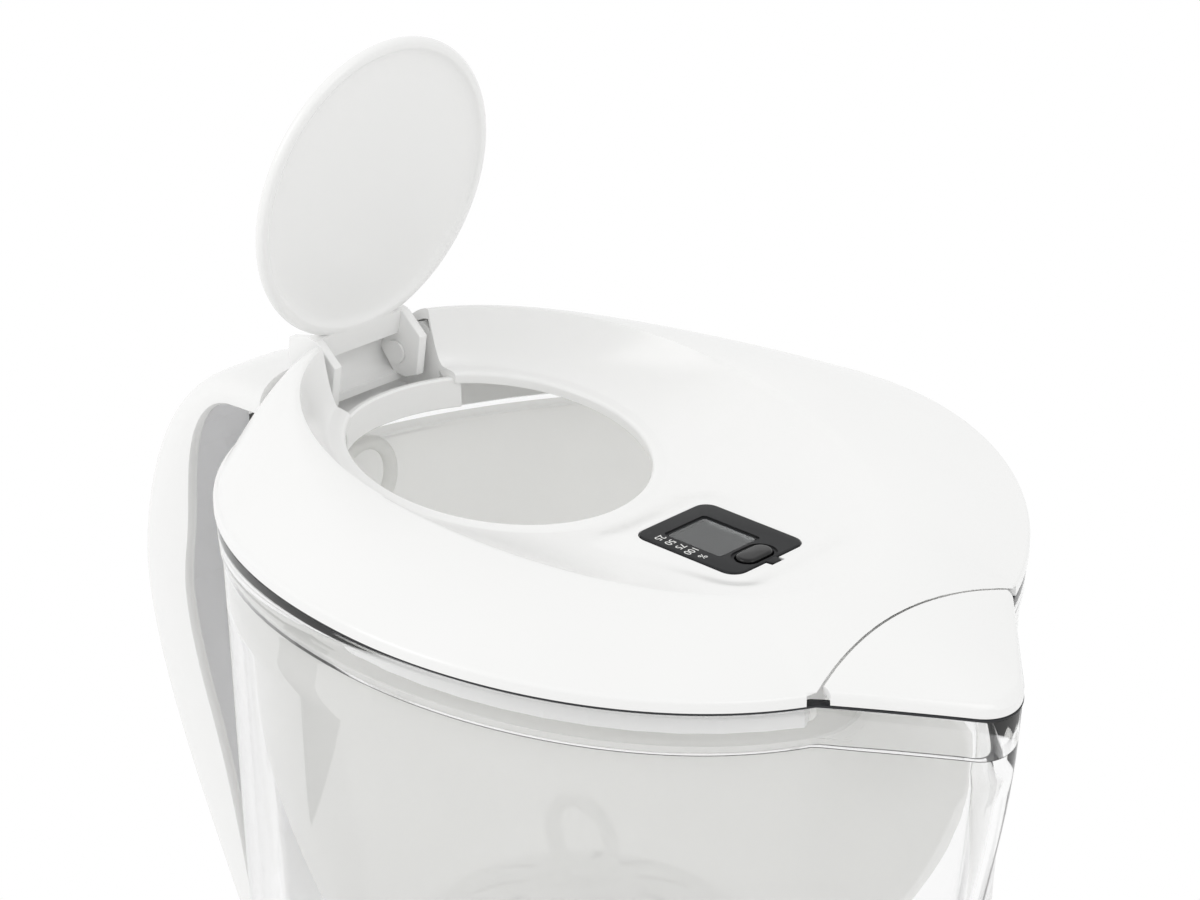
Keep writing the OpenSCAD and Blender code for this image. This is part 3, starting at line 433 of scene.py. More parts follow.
# Needle-punched polyester fleece: soft, matt and hairy
fleece_felt = finish("needled_polyester_fleece", "#EDECE8", 0.95, 1.5, 0.4, 0.12,
                     **{"Sheen Weight": 0.3})
# Ion exchange resin: amber beads of about half a millimetre, wet looking
resin_beads = finish("amber_exchange_resin", "#C79A4B", 0.3, 1.5, 0.6, 0.2, shade=0.3)
# Activated coconut carbon: black, dull, broken granules of about a millimetre
carbon_grit = finish("activated_carbon", "#1B1B1C", 0.85, 1.5, 1.1, 0.35, shade=0.4)
# Glass fibre board under green solder mask
board_mask = finish("green_solder_mask", "#1E5B34", 0.35, 1.5, 0.4, 0.004, shade=0.15)
# Nickel-plated steel, lightly brushed
plated_steel = finish("nickel_plated_steel", "#C9C8C4", 0.28, 1.5, 0.3, 0.003,
                      **{"Metallic": 1.0})


# ---------- jug ----------

def arched_z(x, d):
    return RIM_HEIGHT - d + (1 - smooth((d - ARCH_START) / ARCH_FADE)) * (rim_z(x) - RIM_HEIGHT)


def wall_scale(d):
    return 1 - JUG_TAPER * d


def spout_share(d):
    return math.cos(math.radians(min(90, 90 * d / SPOUT_FADE))) ** 2


def recessed(wall, d):
    """A ring of the wall with the finger recess of the jug's rear pressed into it."""
    grip = np.where(wall[:, 0] > 0, 0, GRIP_RECESS * smooth(1 - np.abs(wall[:, 1]) / GRIP_HALF)
                    * smooth((d - GRIP_TOP) / GRIP_FADE) * smooth((GRIP_LOW - d) / GRIP_FADE))
    return wall + stack(grip, 0 * grip)


def jug_ring(d, distance):
    wall = recessed(mix(OVAL_RING, SPOUT_RING, spout_share(d)) * wall_scale(d), d)
    return raised(inset(wall, distance), arched_z(wall[:, 0], d))


def bend_steps(count):
    return [math.radians(90 * k / count) for k in range(count + 1)]


def jug():
    jug_in, rim_in, top = COLLAR_STEP + JUG_WALL, RIM_INSET + JUG_WALL, SEAL_HEIGHT + SEAL_DROP
    inner = BASE_ROUND - 2
    rings = [jug_ring(RIM_HEIGHT - BASE_ROUND * (1 - math.cos(a)),
                      COLLAR_STEP + BASE_ROUND * (1 - math.sin(a))) for a in bend_steps(8)]
    # The collar's step dies out where the spout leaves the oval
    step_from, step_over = 0.72, 0.28
    step = RIM_INSET + (COLLAR_STEP - RIM_INSET) * np.where(
        ON_BEAK, smooth((U - step_from) / step_over), 1)
    depths = np.concatenate([np.linspace(WALL_LOW, 20, WALL_RINGS), [16, 13, 11, 9.6, 8.6]])
    rings += [jug_ring(d, mix(COLLAR_STEP, step, smooth((40 - d) / 30))) for d in depths]
    # The collar's lower edge, softened over about a millimetre
    rings += [jug_ring(COLLAR_HEIGHT + 0.75, step),
              jug_ring(COLLAR_HEIGHT + 0.1, mix(RIM_INSET, step, 0.75)),
              jug_ring(COLLAR_HEIGHT - 0.15, mix(RIM_INSET, step, 0.2)),
              jug_ring(COLLAR_HEIGHT - 0.5, RIM_INSET)]
    # The rim that carries the gasket
    rings += [jug_ring(top + 0.15, RIM_INSET), jug_ring(top + 0.04, RIM_INSET + 0.04),
              jug_ring(top, RIM_INSET + 0.15), jug_ring(top, rim_in - 0.35),
              jug_ring(top + 0.1, rim_in - 0.1), jug_ring(top + 0.35, rim_in)]
    # The ledge that the reservoir's flange rests on
    rings += [jug_ring(LEDGE_DEPTH - 0.2, rim_in), jug_ring(LEDGE_DEPTH, rim_in + 0.2),
              jug_ring(LEDGE_DEPTH, rim_in + LEDGE_WIDTH - 0.3),
              jug_ring(LEDGE_DEPTH + 0.3, rim_in + LEDGE_WIDTH),
              jug_ring(LEDGE_DEPTH + LEDGE_WIDTH, rim_in + LEDGE_WIDTH)]
    rings += [jug_ring(d, jug_in) for d in np.linspace(15, WALL_LOW, WALL_RINGS)]
    rings += [jug_ring(RIM_HEIGHT - JUG_FLOOR - inner * (1 - math.cos(a)),
                       jug_in + inner * (1 - math.sin(a))) for a in reversed(bend_steps(8))]
    made = piece("jug", *loft(rings), clear_san, 30)
    # The bracket that holds the handle: a foot and a tongue that rises into its hollow
    back, low, half = JUG_REAR - BRACKET_BACK, RIM_HEIGHT - BRACKET_DROP, BRACKET_HALF
    foot = block(back, JUG_REAR + BRACKET_BITE, -half, half, low, low + BRACKET_FOOT)
    tongue = block(back, back + BRACKET_PLATE, -half, half, low, RIM_HEIGHT + BRACKET_TOP)
    carve(made, [foot, tongue], "UNION")
    crease(made, 30)
    return made


# ---------- handle ----------

HANDLE_TOP, HANDLE_MIDDLE, HANDLE_LOWER, HANDLE_ROOT, LOWER_POWER = 5, -47, 90, -86, 1.6
HANDLE_BULGE = HANDLE_ROOT - HANDLE_X
# Angles in degrees: where the handle starts and ends, and where its depth fades and over how many
TAIL_END, TOP_END, TOP_FADE, TAIL_FADE, TAIL_DEPTH = -78, 84, (15, 65), (20, 64), 3.5


def handle_outer(a):
    """The handle's outer line at an angle in degrees: distance along X and rise over the rim."""
    s, c = math.sin(math.radians(a)), math.cos(math.radians(a))
    if a > 0:
        return np.array([HANDLE_ROOT - HANDLE_BULGE * c,
                         HANDLE_MIDDLE + (HANDLE_TOP - HANDLE_MIDDLE) * s])
    return np.array([HANDLE_ROOT - HANDLE_BULGE * (1 - (-s) ** LOWER_POWER),
                     HANDLE_MIDDLE + HANDLE_LOWER * s])


def handle_reach(a):
    if a > 0:
        return mix(HANDLE_DEPTH, HANDLE_TOP_DEPTH, float(smooth((a - TOP_FADE[0]) / TOP_FADE[1])))
    return mix(HANDLE_DEPTH, TAIL_DEPTH, float(smooth((-a - TAIL_FADE[0]) / TAIL_FADE[1])))


def handle_point(a, y, n, ended):
    run = handle_outer(a + 0.5) - handle_outer(a - 0.5)
    normal = np.array([-run[1], run[0]]) / np.linalg.norm(run)
    p = handle_outer(a) + normal * (n - handle_reach(a))
    limit = float(rear_x(y)) * wall_scale(max(0, -p[1])) - GAP
    x = float(rear_x(y)) - GAP if ended else min(p[0], limit)
    return [x, y, RIM_HEIGHT + p[1]]


def d_section(t, width, deep):
    c, s = math.cos(t), math.sin(t)
    return (width / 2 * math.copysign(abs(c) ** 0.5, c), deep * abs(s) ** 0.75)


def handle():
    steps, least_hollow = 44, 0.3
    cuts = [math.pi * k / steps for k in range(steps + 1)]
    angles = list(np.linspace(TAIL_END, TOP_END, 110))
    rings = []
    for a, ended in [(a, False) for a in angles] + [(TOP_END, True)]:
        deep = handle_reach(a)
        outer = [d_section(t, HANDLE_WIDTH, deep) for t in cuts]
        inner = [d_section(t, HANDLE_WIDTH - 2 * HANDLE_WALL,
                           max(deep * least_hollow, deep - HANDLE_WALL)) for t in reversed(cuts)]
        # The free edges of the wall are rounded
        lip = 0.5
        outer[0], outer[-1] = (outer[0][0], lip), (outer[-1][0], lip)
        inner[0], inner[-1] = (inner[0][0], lip), (inner[-1][0], lip)
        edge = HANDLE_WALL * 0.28
        outer = ([(outer[0][0] - edge, 0)] + outer + [(outer[-1][0] + edge, 0)])
        inner = ([(inner[0][0] - edge, 0)] + inner + [(inner[-1][0] + edge, 0)])
        rings.append([handle_point(a, y, n, ended) for y, n in outer + inner])
    return piece("handle", *strip_loft(rings), white_abs, 40)


# ---------- reservoir ----------

def funnel_mix(d):
    share = min(1, max(0, (d - FUNNEL_START) / (FUNNEL_DEPTH - FUNNEL_START)))
    return FUNNEL_DRAW * (1 - math.cos(math.radians(90 * share)))


def funnel_ring(d, distance, blend):
    wall = recessed(OVAL_RING * wall_scale(d), d)
    r = CUP_RADIUS + SOCKET_PLAY + SOCKET_EASE - distance / 2
    round_ring = stack(CUP_X + r * np.cos(ANGLES), r * np.sin(ANGLES))
    ring = mix(inset(wall, distance), round_ring, blend)
    return raised(ring, arched_z(wall[:, 0], d))


def reservoir():
    flange_top = LEDGE_DEPTH - GAP - FUNNEL_WALL
    outer = RIM_INSET + JUG_WALL + GAP
    under = outer + LEDGE_WIDTH + GAP
    inner = under + FUNNEL_WALL
    rim_low = flange_top + FUNNEL_WALL
    seat_depth = FUNNEL_DEPTH + FLOOR_FALL - 1
    levels = np.concatenate([[12, 14], np.linspace(16, FUNNEL_DEPTH - 2, 34)])
    rings = [funnel_ring(seat_depth + FUNNEL_WALL, under, 1),
             funnel_ring(FUNNEL_DEPTH + 1.2 + FUNNEL_WALL, under, FUNNEL_DRAW + SOCKET_TURN_IN),
             funnel_ring(FUNNEL_DEPTH + FUNNEL_WALL * 0.6, under, FUNNEL_DRAW)]
    rings += [funnel_ring(d, under, funnel_mix(d)) for d in levels[::-1]]
    rings += [funnel_ring(rim_low, under, 0), funnel_ring(rim_low, outer + 0.3, 0),
              funnel_ring(rim_low - 0.3, outer, 0), funnel_ring(flange_top + 0.3, outer, 0),
              funnel_ring(flange_top, outer + 0.3, 0), funnel_ring(flange_top, inner - 0.4, 0),
              funnel_ring(flange_top + 0.4, inner, 0)]
    rings += [funnel_ring(d, inner, funnel_mix(d)) for d in levels]
    rings += [funnel_ring(FUNNEL_DEPTH, inner, FUNNEL_DRAW),
              funnel_ring(FUNNEL_DEPTH + 1, inner, FUNNEL_DRAW + SOCKET_TURN_IN),
              funnel_ring(seat_depth + 0.8, inner, 1)]
    made = piece("reservoir", *loft(rings, capped=False), frosted_pp, 30)
    top = RIM_HEIGHT - seat_depth + 0.8
    r, lip = CUP_RADIUS + SOCKET_PLAY, SOCKET_LIP
    socket = turned([(r, top - SOCKET_DEPTH), (r + SOCKET_WALL, top - SOCKET_DEPTH),
                     (r + SOCKET_WALL, top - FUNNEL_WALL), (r + lip, top - FUNNEL_WALL),
                     (r + lip, top), (r, top)], 160)
    # The finger ring and the bar that joins it to the wall
    ring_x, ring_z = JUG_REAR + inner + RING_BACK, RIM_HEIGHT - RING_DROP
    wire = [(RING_RADIUS + RING_WIRE * math.cos(a), RING_WIRE * math.sin(a))
            for a in np.arange(20) * 2 * math.pi / 20]
    verts, faces = turned(wire, 72)
    loop = (np.column_stack([verts[:, 2] + ring_x, verts[:, 1], verts[:, 0] + ring_z]), faces)
    bar = moved(prism(rounded_outline(RING_BAR_LENGTH, RING_BAR_WIDTH, 1),
                      0, RING_BAR_HEIGHT, 0.4),
                (ring_x - RING_BAR_LENGTH / 2, 0, ring_z - RING_RADIUS - RING_BAR_HEIGHT / 2))
    return carve(made, [moved(socket, (CUP_X, 0, 0)), loop, bar], "UNION")


# ---------- lid ----------

# Powers of the curves from hole to crest (rear, front) and from crest to rim
DISH_POWERS, SHOULDER_POWER = (1.7, 0.9), 1.6
HOLE_EDGE, SEAM_SLANT, SEAM_BACK = 0.8, 1.4, 0.6
BAND_HALF, BAND_WALL, BAND_HEIGHT, BAND_PLAY, BAND_DROP = 16.5, 1.6, 6.6, 0.2, 1.6


def hole_plane(x):
    return RIM_HEIGHT + HOLE_RISE - math.tan(HOLE_TILT) * (x - HOLE_X)


def edge_top():
    x, y = LID_RIM[:, 0], LID_RIM[:, 1]
    round_part = (rim_z(x) + LID_EDGE
                  + np.where(x < 0, REAR_LIFT * smooth(1 - np.abs(y) / REAR_LIFT_HALF), 0))
    return np.where(ON_BEAK, rim_z(KINK[0]) + LID_EDGE + SEAM_LIFT * (1 - U * U), round_part)


EDGE_TOP = edge_top()
EDGE_LOW = np.where(ON_BEAK, EDGE_TOP - LID_WALL, rim_z(LID_RIM[:, 0]))


def hole_ring(r):
    x = HOLE_X + r * math.cos(HOLE_TILT) * np.cos(ANGLES)
    return np.column_stack([x, r * np.sin(ANGLES), hole_plane(x)])


def crest_ring():
    c = np.cos(ANGLES)
    x = DISH_X + np.where(c > 0, DISH_FRONT, DISH_REAR) * c
    return np.column_stack([x, DISH_HALF_WIDTH * np.sin(ANGLES),
                            RIM_HEIGHT + CREST_RISE + CREST_SLOPE * x])


def meter_pad(p):
    beside = np.maximum(np.abs(p[:, 0] - METER_X) - METER_LENGTH / 2, 0)
    across = np.maximum(np.abs(p[:, 1]) - METER_WIDTH / 2, 0)
    return smooth(1 - np.hypot(beside, across) / METER_FADE)


def meter_plane(x):
    return RIM_HEIGHT + METER_RISE - math.tan(METER_TILT) * (x - METER_X)


def dish_ring(v):
    a, b = hole_ring(HOLE_RADIUS + PAD_MARGIN), crest_ring()
    power = mix(*DISH_POWERS, np.maximum(0, np.cos(ANGLES)))
    p = mix(a, b, v)
    z = mix(a[:, 2], b[:, 2], v ** power)
    p[:, 2] = mix(z, meter_plane(p[:, 0]) - METER_PROUD, meter_pad(p))
    return p


def soft_rim():
    return np.where(ON_BEAK[:, None], LID_RIM, inset(LID_RIM, LID_ROUND))


def shoulder_ring(v):
    a = crest_ring()
    b = raised(soft_rim(), EDGE_TOP)
    p = mix(a, b, v)
    p[:, 2] = b[:, 2] + (a[:, 2] - b[:, 2]) * (1 - v ** SHOULDER_POWER)
    return p


def softened(rings, reach=0.4):
    """Rounds the crest of the lid: each line from hole to rim is smoothed along its length."""
    step, half, start, fade = 0.25, 24, 1.5, 3
    grid = np.stack(rings)
    run = np.concatenate([np.zeros((1, grid.shape[1])),
                          np.cumsum(np.linalg.norm(np.diff(grid, axis=0), axis=2), axis=0)])
    out = grid.copy()
    for i in range(grid.shape[1]):
        s = run[:, i]
        fine = np.arange(0, s[-1], step)
        kernel = np.exp(-0.5 * (np.arange(-half, half + 1) * step / reach) ** 2)
        kernel /= kernel.sum()
        z = np.interp(fine, s, grid[:, i, 2])
        padded = np.concatenate([2 * z[0] - z[half:0:-1], z, 2 * z[-1] - z[-2:-half - 2:-1]])
        eased = np.convolve(padded, kernel, mode="valid")
        weight = smooth((fine - start) / fade) * smooth((s[-1] - fine) / fade)
        out[:, i, 2] = np.interp(s, fine, z + (eased - z) * weight)
    return list(out)


def lid_shell():
    edge = HOLE_EDGE
    flat = [hole_ring(HOLE_RADIUS + edge + (PAD_MARGIN - edge) * k / 4) for k in range(4)]
    tops = (flat + [dish_ring(v) for v in np.linspace(0, 1, 32)]
            + [shoulder_ring(v) for v in np.linspace(0, 1, 26)[1:]])
    tops = softened(tops)
    lowered = [r - [0, 0, LID_WALL] for r in tops[:-2]]
    lip = []
    for a in bend_steps(5)[:-1]:
        ring = hole_ring(HOLE_RADIUS + edge * (1 - math.cos(a)))
        lip.append(ring - [0, 0, edge * (1 - math.sin(a))])
    foot = hole_ring(HOLE_RADIUS) - [0, 0, LID_WALL]
    rim = []
    for a in bend_steps(6)[1:]:
        drop, back = LID_ROUND * (1 - math.cos(a)), LID_ROUND * (1 - math.sin(a))
        ring = np.where(ON_BEAK[:, None], inset(LID_RIM, SEAM_SLANT * drop), inset(LID_RIM, back))
        rim.append(raised(ring, EDGE_TOP - drop))
    foot_ring = np.where(ON_BEAK[:, None], inset(LID_RIM, SEAM_SLANT * LID_WALL), LID_RIM)
    back_ring = np.where(ON_BEAK[:, None], inset(LID_RIM, SEAM_SLANT * LID_WALL + SEAM_BACK),
                         inset(LID_RIM, LID_WALL))
    rings = (lip + tops + rim + [raised(foot_ring, EDGE_LOW), raised(back_ring, EDGE_LOW)]
             + lowered[::-1] + [foot])
    return loft(rings, capped=False)


TUB_HALF = FLAP_ARM_WIDTH / 2 + 1.8
TUB_WALL, TUB_REAR, TUB_FRONT, TUB_FLOOR = 1.6, HINGE_X - 9.2, HINGE_X + 8.3, HINGE_Z - 8.4
SLOT_FRONT = HOLE_X - 0.75 * HOLE_RADIUS
TAB_WIDTH, TAB_REACH, BEZEL_PLATE = 3.2, 1.5, 1.4


def block(x0, x1, y0, y1, z0, z1):
    outline = [(x0, y0), (x1, y0), (x1, y1), (x0, y1)]
    return prism(outline, z0, z1)


def lid():
    made = piece("lid", *lid_shell(), white_abs, 40)
    slot = block(TUB_REAR, SLOT_FRONT, -TUB_HALF, TUB_HALF, RIM_HEIGHT - 20, RIM_HEIGHT + 40)
    window = pitched(prism(rounded_outline(METER_LENGTH + 2 * GAP, METER_WIDTH + 2 * GAP,
                                           METER_ROUND + GAP), -12, 18),
                     METER_TILT, METER_X, RIM_HEIGHT + METER_RISE)
    notch = pitched(block(METER_LENGTH / 2 - 1, METER_LENGTH / 2 + TAB_REACH + GAP,
                          -TAB_WIDTH / 2 - GAP, TAB_WIDTH / 2 + GAP, -BEZEL_PLATE - GAP, 8),
                    METER_TILT, METER_X, RIM_HEIGHT + METER_RISE)
    carve(made, [slot, window, notch])
    # The tub that holds the flap's arm, with an ear for the pin on each side
    rear = TUB_REAR - TUB_WALL - HINGE_X
    side = [(rear, TUB_FLOOR - TUB_WALL - HINGE_Z), (TUB_FRONT - HINGE_X, TUB_FLOOR - TUB_WALL
            - HINGE_Z), (TUB_FRONT - HINGE_X, -1.6), (6.8, 3.1), (5.5, 5.2), (3.8, 6.4),
            (2.4, 6.1), (0.8, 5), (-2.2, 1.9), (-5.2, -1.5), (-8.2, -5.6), (rear, -9.2)]
    tub = piece("tub", *along_y(prism(side, -TUB_HALF - TUB_WALL, TUB_HALF + TUB_WALL, 0.35),
                                HINGE_X, HINGE_Z), white_abs)
    room = block(TUB_REAR, TUB_FRONT + 1, -TUB_HALF, TUB_HALF, TUB_FLOOR, TUB_FLOOR + 40)
    bore = along_y(prism(circle_outline(FLAP_PIN + PIN_PLAY), -3 * TUB_HALF / 2,
                         3 * TUB_HALF / 2), HINGE_X, HINGE_Z)
    carve(tub, [room, bore])
    # The curved band that closes the tub towards the hole
    half_turn = math.asin(BAND_HALF / HOLE_RADIUS)
    r, base = HOLE_RADIUS + BAND_PLAY, RIM_HEIGHT - BAND_DROP
    high, wall = BAND_HEIGHT, BAND_WALL
    band = turned([(r, base + 0.3), (r + 0.3, base), (r + wall - 0.3, base), (r + wall, base + 0.3),
                   (r + wall, base + high - 0.4), (r + wall - 0.4, base + high),
                   (r + 0.4, base + high), (r, base + high - 0.4)],
                  72, math.pi - half_turn, 2 * half_turn)
    tub_shape = (np.array([v.co[:] for v in tub.data.vertices]) / MM,
                 [tuple(p.vertices) for p in tub.data.polygons])
    bpy.data.objects.remove(tub)
    carve(made, [tub_shape, moved(band, (HOLE_X, 0, 0))], "UNION")
    crease(made, 36)
    return made


# ---------- refill flap ----------

def at_flap(shape):
    return pitched(shape, HOLE_TILT - FLAP_OPEN, HINGE_X, HINGE_Z)


def refill_flap():
    disc = HOLE_RADIUS + FLAP_OVERLAP
    lip = disc - FLAP_LIP
    low, half = -FLAP_LIFT + 0.6, FLAP_ARM_WIDTH / 2
    profile = [(0, 1.3), (10, 1.27), (18, 1.17), (lip - 6, 1.06), (lip - 4, 0.97), (lip - 2, 0.8),
               (lip - 1, 0.58), (lip - 0.4, 0.28), (lip - 0.1, 0.06), (lip + 0.2, 0), (disc - 1, 0)]
    profile += [(disc - 1.1 + 1.1 * math.cos(a), FLAP_PLATE / 2 + FLAP_PLATE / 2 * math.sin(a))
                for a in np.radians(np.arange(-80, 91, 10))]
    profile += [(disc * 0.6, FLAP_PLATE + 0.26), (0, FLAP_PLATE + 0.4)]
    made = piece("refill_flap_disc", *at_flap(moved(turned(profile, 200),
                                                    (FLAP_REACH, 0, low))), white_abs, 40)
    cheek = [(-2.7, -6.3), (5.9, -6), (9.5, -0.4), (9.5, low + FLAP_PLATE), (7.4, 7.4),
             (3.6, 7.2), (0, 5.6), (-4.8, 0), (-4.6, -3.4)]
    web = ([(6.2 * math.cos(a), 6.2 * math.sin(a)) for a in np.radians(np.arange(10, 191, 6))]
           + [(4.4 * math.cos(a), 4.4 * math.sin(a)) for a in np.radians(np.arange(190, 9, -6))])
    parts = [along_y(prism(cheek, side * (half - FLAP_CHEEK / 2) - FLAP_CHEEK / 2,
                           side * (half - FLAP_CHEEK / 2) + FLAP_CHEEK / 2, 0.35), 0, 0)
             for side in (-1, 1)]
    parts.append(along_y(prism(web, -half + FLAP_CHEEK / 2, half - FLAP_CHEEK / 2), 0, 0))
    parts.append(block(4.4, 9.6, -half + 0.1, half - 0.1, low, low + FLAP_PLATE))
    carve(made, [at_flap(p) for p in parts], "UNION")
    bore = along_y(prism(circle_outline(FLAP_PIN + PIN_PLAY), -half - 1, half + 1), 0, 0)
    carve(made, [at_flap(bore)])
    made.name = "refill_flap_cover"
    crease(made, 36)
    return made


# ---------- pour flap ----------

POUR_AXIS_X = SEAM_X + 6.2
POUR_AXIS_Z = rim_z(KINK[0]) + LID_EDGE + SEAM_LIFT - 5.3


def pour_flap():
    shares = np.concatenate([np.linspace(0.93, 0.22, 26), np.linspace(0.2, 0, 8)])
    walk = [(u, -1) for u in shares] + [(u, 1) for u in shares[-2::-1]]
    across = np.concatenate([[0, 0.004, 0.012], np.linspace(0.04, 1, 25)])
    spout_z = rim_z(KINK[0]) + LID_EDGE
    rings = []
    for u, side in walk:
        rear = sided(seam_point(np.array([u])), side)[0] + [POUR_GAP, 0]
        front = sided(spout_point(np.array([u])), side)[0] * 0.998
        low = rim_z(front[0]) + 0.1
        top = []
        for v in across:
            p = mix(rear, front, v)
            z = mix(spout_z + SEAM_LIFT * (1 - u * u), rim_z(front[0]) + LID_EDGE, v ** 1.35)
            top.append([p[0], p[1], z])
        top = np.array(top)
        # The edges of the top are rounded at the seam and at the spout
        length = np.linalg.norm(front - rear)
        near = np.minimum(across, 1 - across) * length
        soft = np.where(across < 0.5, 0.25, 0.8)
        drop = soft * (1 - np.sqrt(np.clip(1 - (1 - np.clip(near / soft, 0, 1)) ** 2, 0, 1)))
        rounded = top - np.column_stack([0 * drop, 0 * drop, drop])
        under = top.copy()
        under[:, 2] = np.where(across > 0.95, low, np.maximum(top[:, 2] - POUR_PLATE, low))
        rings.append(np.concatenate([rounded, under[::-1]]))
    made = piece("pour_flap_cover", *strip_loft(rings), white_abs, 42)
    lug, half = POUR_LUG, POUR_LUG_HALF
    reach = (POUR_PIN_LENGTH - 2 * half) / 2 - GAP
    parts = []
    for side in (-1, 1):
        middle = side * (half + GAP + reach / 2)
        parts.append(along_y(prism(circle_outline(lug), -middle - reach / 2, -middle + reach / 2),
                             POUR_AXIS_X, POUR_AXIS_Z))
        parts.append(block(POUR_AXIS_X - POUR_LUG_THIN, POUR_AXIS_X + POUR_LUG_THIN,
                           middle - reach / 2, middle + reach / 2,
                           POUR_AXIS_Z, POUR_AXIS_Z + POUR_LUG_HIGH))
    carve(made, parts, "UNION")
    bore = along_y(prism(circle_outline(POUR_BORE), -14, 14), POUR_AXIS_X, POUR_AXIS_Z)
    carve(made, [bore])
    crease(made, 36)
    return made


# ---------- meter ----------

WINDOW_LENGTH, WINDOW_WIDTH, WINDOW_X, WINDOW_Y = 13, 11, -1.5, -0.5
BUTTON_LENGTH, BUTTON_WIDTH, BUTTON_X, BUTTON_Y = 4.4, 8.6, 9.1, -0.9


def at_meter(shape):
    return pitched(shape, METER_TILT, METER_X, RIM_HEIGHT + METER_RISE)


def oval_outline(length, width, steps=24):
    r = length / 2
    points = [(r * math.cos(a), width / 2 - r + r * math.sin(a))
              for a in np.linspace(0, math.pi, steps)]
    points += [(-r * math.cos(a), -width / 2 + r - r * math.sin(a))
               for a in np.linspace(0, math.pi, steps)]
    return np.array(points)


def bezel():
    shape = prism(rounded_outline(METER_LENGTH, METER_WIDTH, METER_ROUND), -BEZEL_PLATE, 0, 0.35)
    made = piece("meter_face", *at_meter(shape), meter_abs, 40)
    tab = prism([(METER_LENGTH / 2 - 0.5, -TAB_WIDTH / 2),
                 (METER_LENGTH / 2 + TAB_REACH, -TAB_WIDTH / 2 + 0.5),
                 (METER_LENGTH / 2 + TAB_REACH, TAB_WIDTH / 2 - 0.5),
                 (METER_LENGTH / 2 - 0.5, TAB_WIDTH / 2)], -BEZEL_PLATE, -0.1, 0.2)
    carve(made, [at_meter(tab)], "UNION")
    window = moved(prism(rounded_outline(WINDOW_LENGTH, WINDOW_WIDTH, 0.5), -3, 2),
                   (WINDOW_X, WINDOW_Y, 0))
    ledge = moved(prism(rounded_outline(WINDOW_LENGTH + 1.2, WINDOW_WIDTH + 1.2, 0.9), -0.35, 2),
                  (WINDOW_X, WINDOW_Y, 0))
    well = moved(prism(oval_outline(BUTTON_LENGTH + 2 * GAP, BUTTON_WIDTH + 2 * GAP), -3, 2),
                 (BUTTON_X, BUTTON_Y, 0))
    cup = moved(prism(oval_outline(BUTTON_LENGTH + 1.8, BUTTON_WIDTH + 1.8), -0.3, 2),
                (BUTTON_X, BUTTON_Y, 0))
    carve(made, [at_meter(s) for s in (window, ledge, well, cup)])
    crease(made, 36)
    return made


def button():
    outline = oval_outline(BUTTON_LENGTH, BUTTON_WIDTH)
    foot, proud, soft = -2.7, 0.6, 0.75
    rings = [raised(outline, foot), raised(outline, proud - soft)]
    for a in bend_steps(6)[1:]:
        rings.append(raised(inset(outline, soft * (1 - math.cos(a))),
                            proud - soft + 0.6 * math.sin(a)))
    middle = np.array([0, 0])
    for share in (0.6, 0.3):
        rings.append(raised(mix(middle, inset(outline, soft), share),
                            proud - 0.15 + 0.15 * (1 - share)))
    return piece("meter_push_button",
                 *at_meter(moved(loft(rings), (BUTTON_X, BUTTON_Y, 0))), button_abs, 40)


def printed(name, words, x, y, size):
    """Characters laid on the meter's face, their tops towards the spout."""
    font = bpy.data.curves.new(name, "FONT")
    font.body, font.size, font.extrude = words, size * MM, 0.02 * MM
    font.align_x, font.align_y = "CENTER", "CENTER"
    text = bpy.data.objects.new(name, font)
    bpy.context.scene.collection.objects.link(text)
    bpy.context.view_layer.update()
    graph = bpy.context.evaluated_depsgraph_get()
    mesh = bpy.data.meshes.new_from_object(text.evaluated_get(graph))
    bpy.data.objects.remove(text)
    flat = np.array([v.co[:] for v in mesh.vertices]) / MM
    faces = [tuple(p.vertices) for p in mesh.polygons]
    laid = np.column_stack([flat[:, 1] + x - METER_X, -flat[:, 0] + y, flat[:, 2] + 0.03])
    bpy.data.meshes.remove(mesh)
    return laid, faces


def scale_marks():
    marks = [("25", 22.4, -8.4), ("50", 25.0, -8.5), ("75", 27.6, -8.5), ("100", 30.2, -8.5),
             ("%", 33.2, -8.8)]
    shapes = [printed(f"mark_{k}", words, x, y, 2.3) for k, (words, x, y) in enumerate(marks)]
    return piece("meter_scale_marks", *at_meter(merged(*shapes)), white_ink, 30)


# ---------- lid seal, laid round the rim by geometry nodes ----------

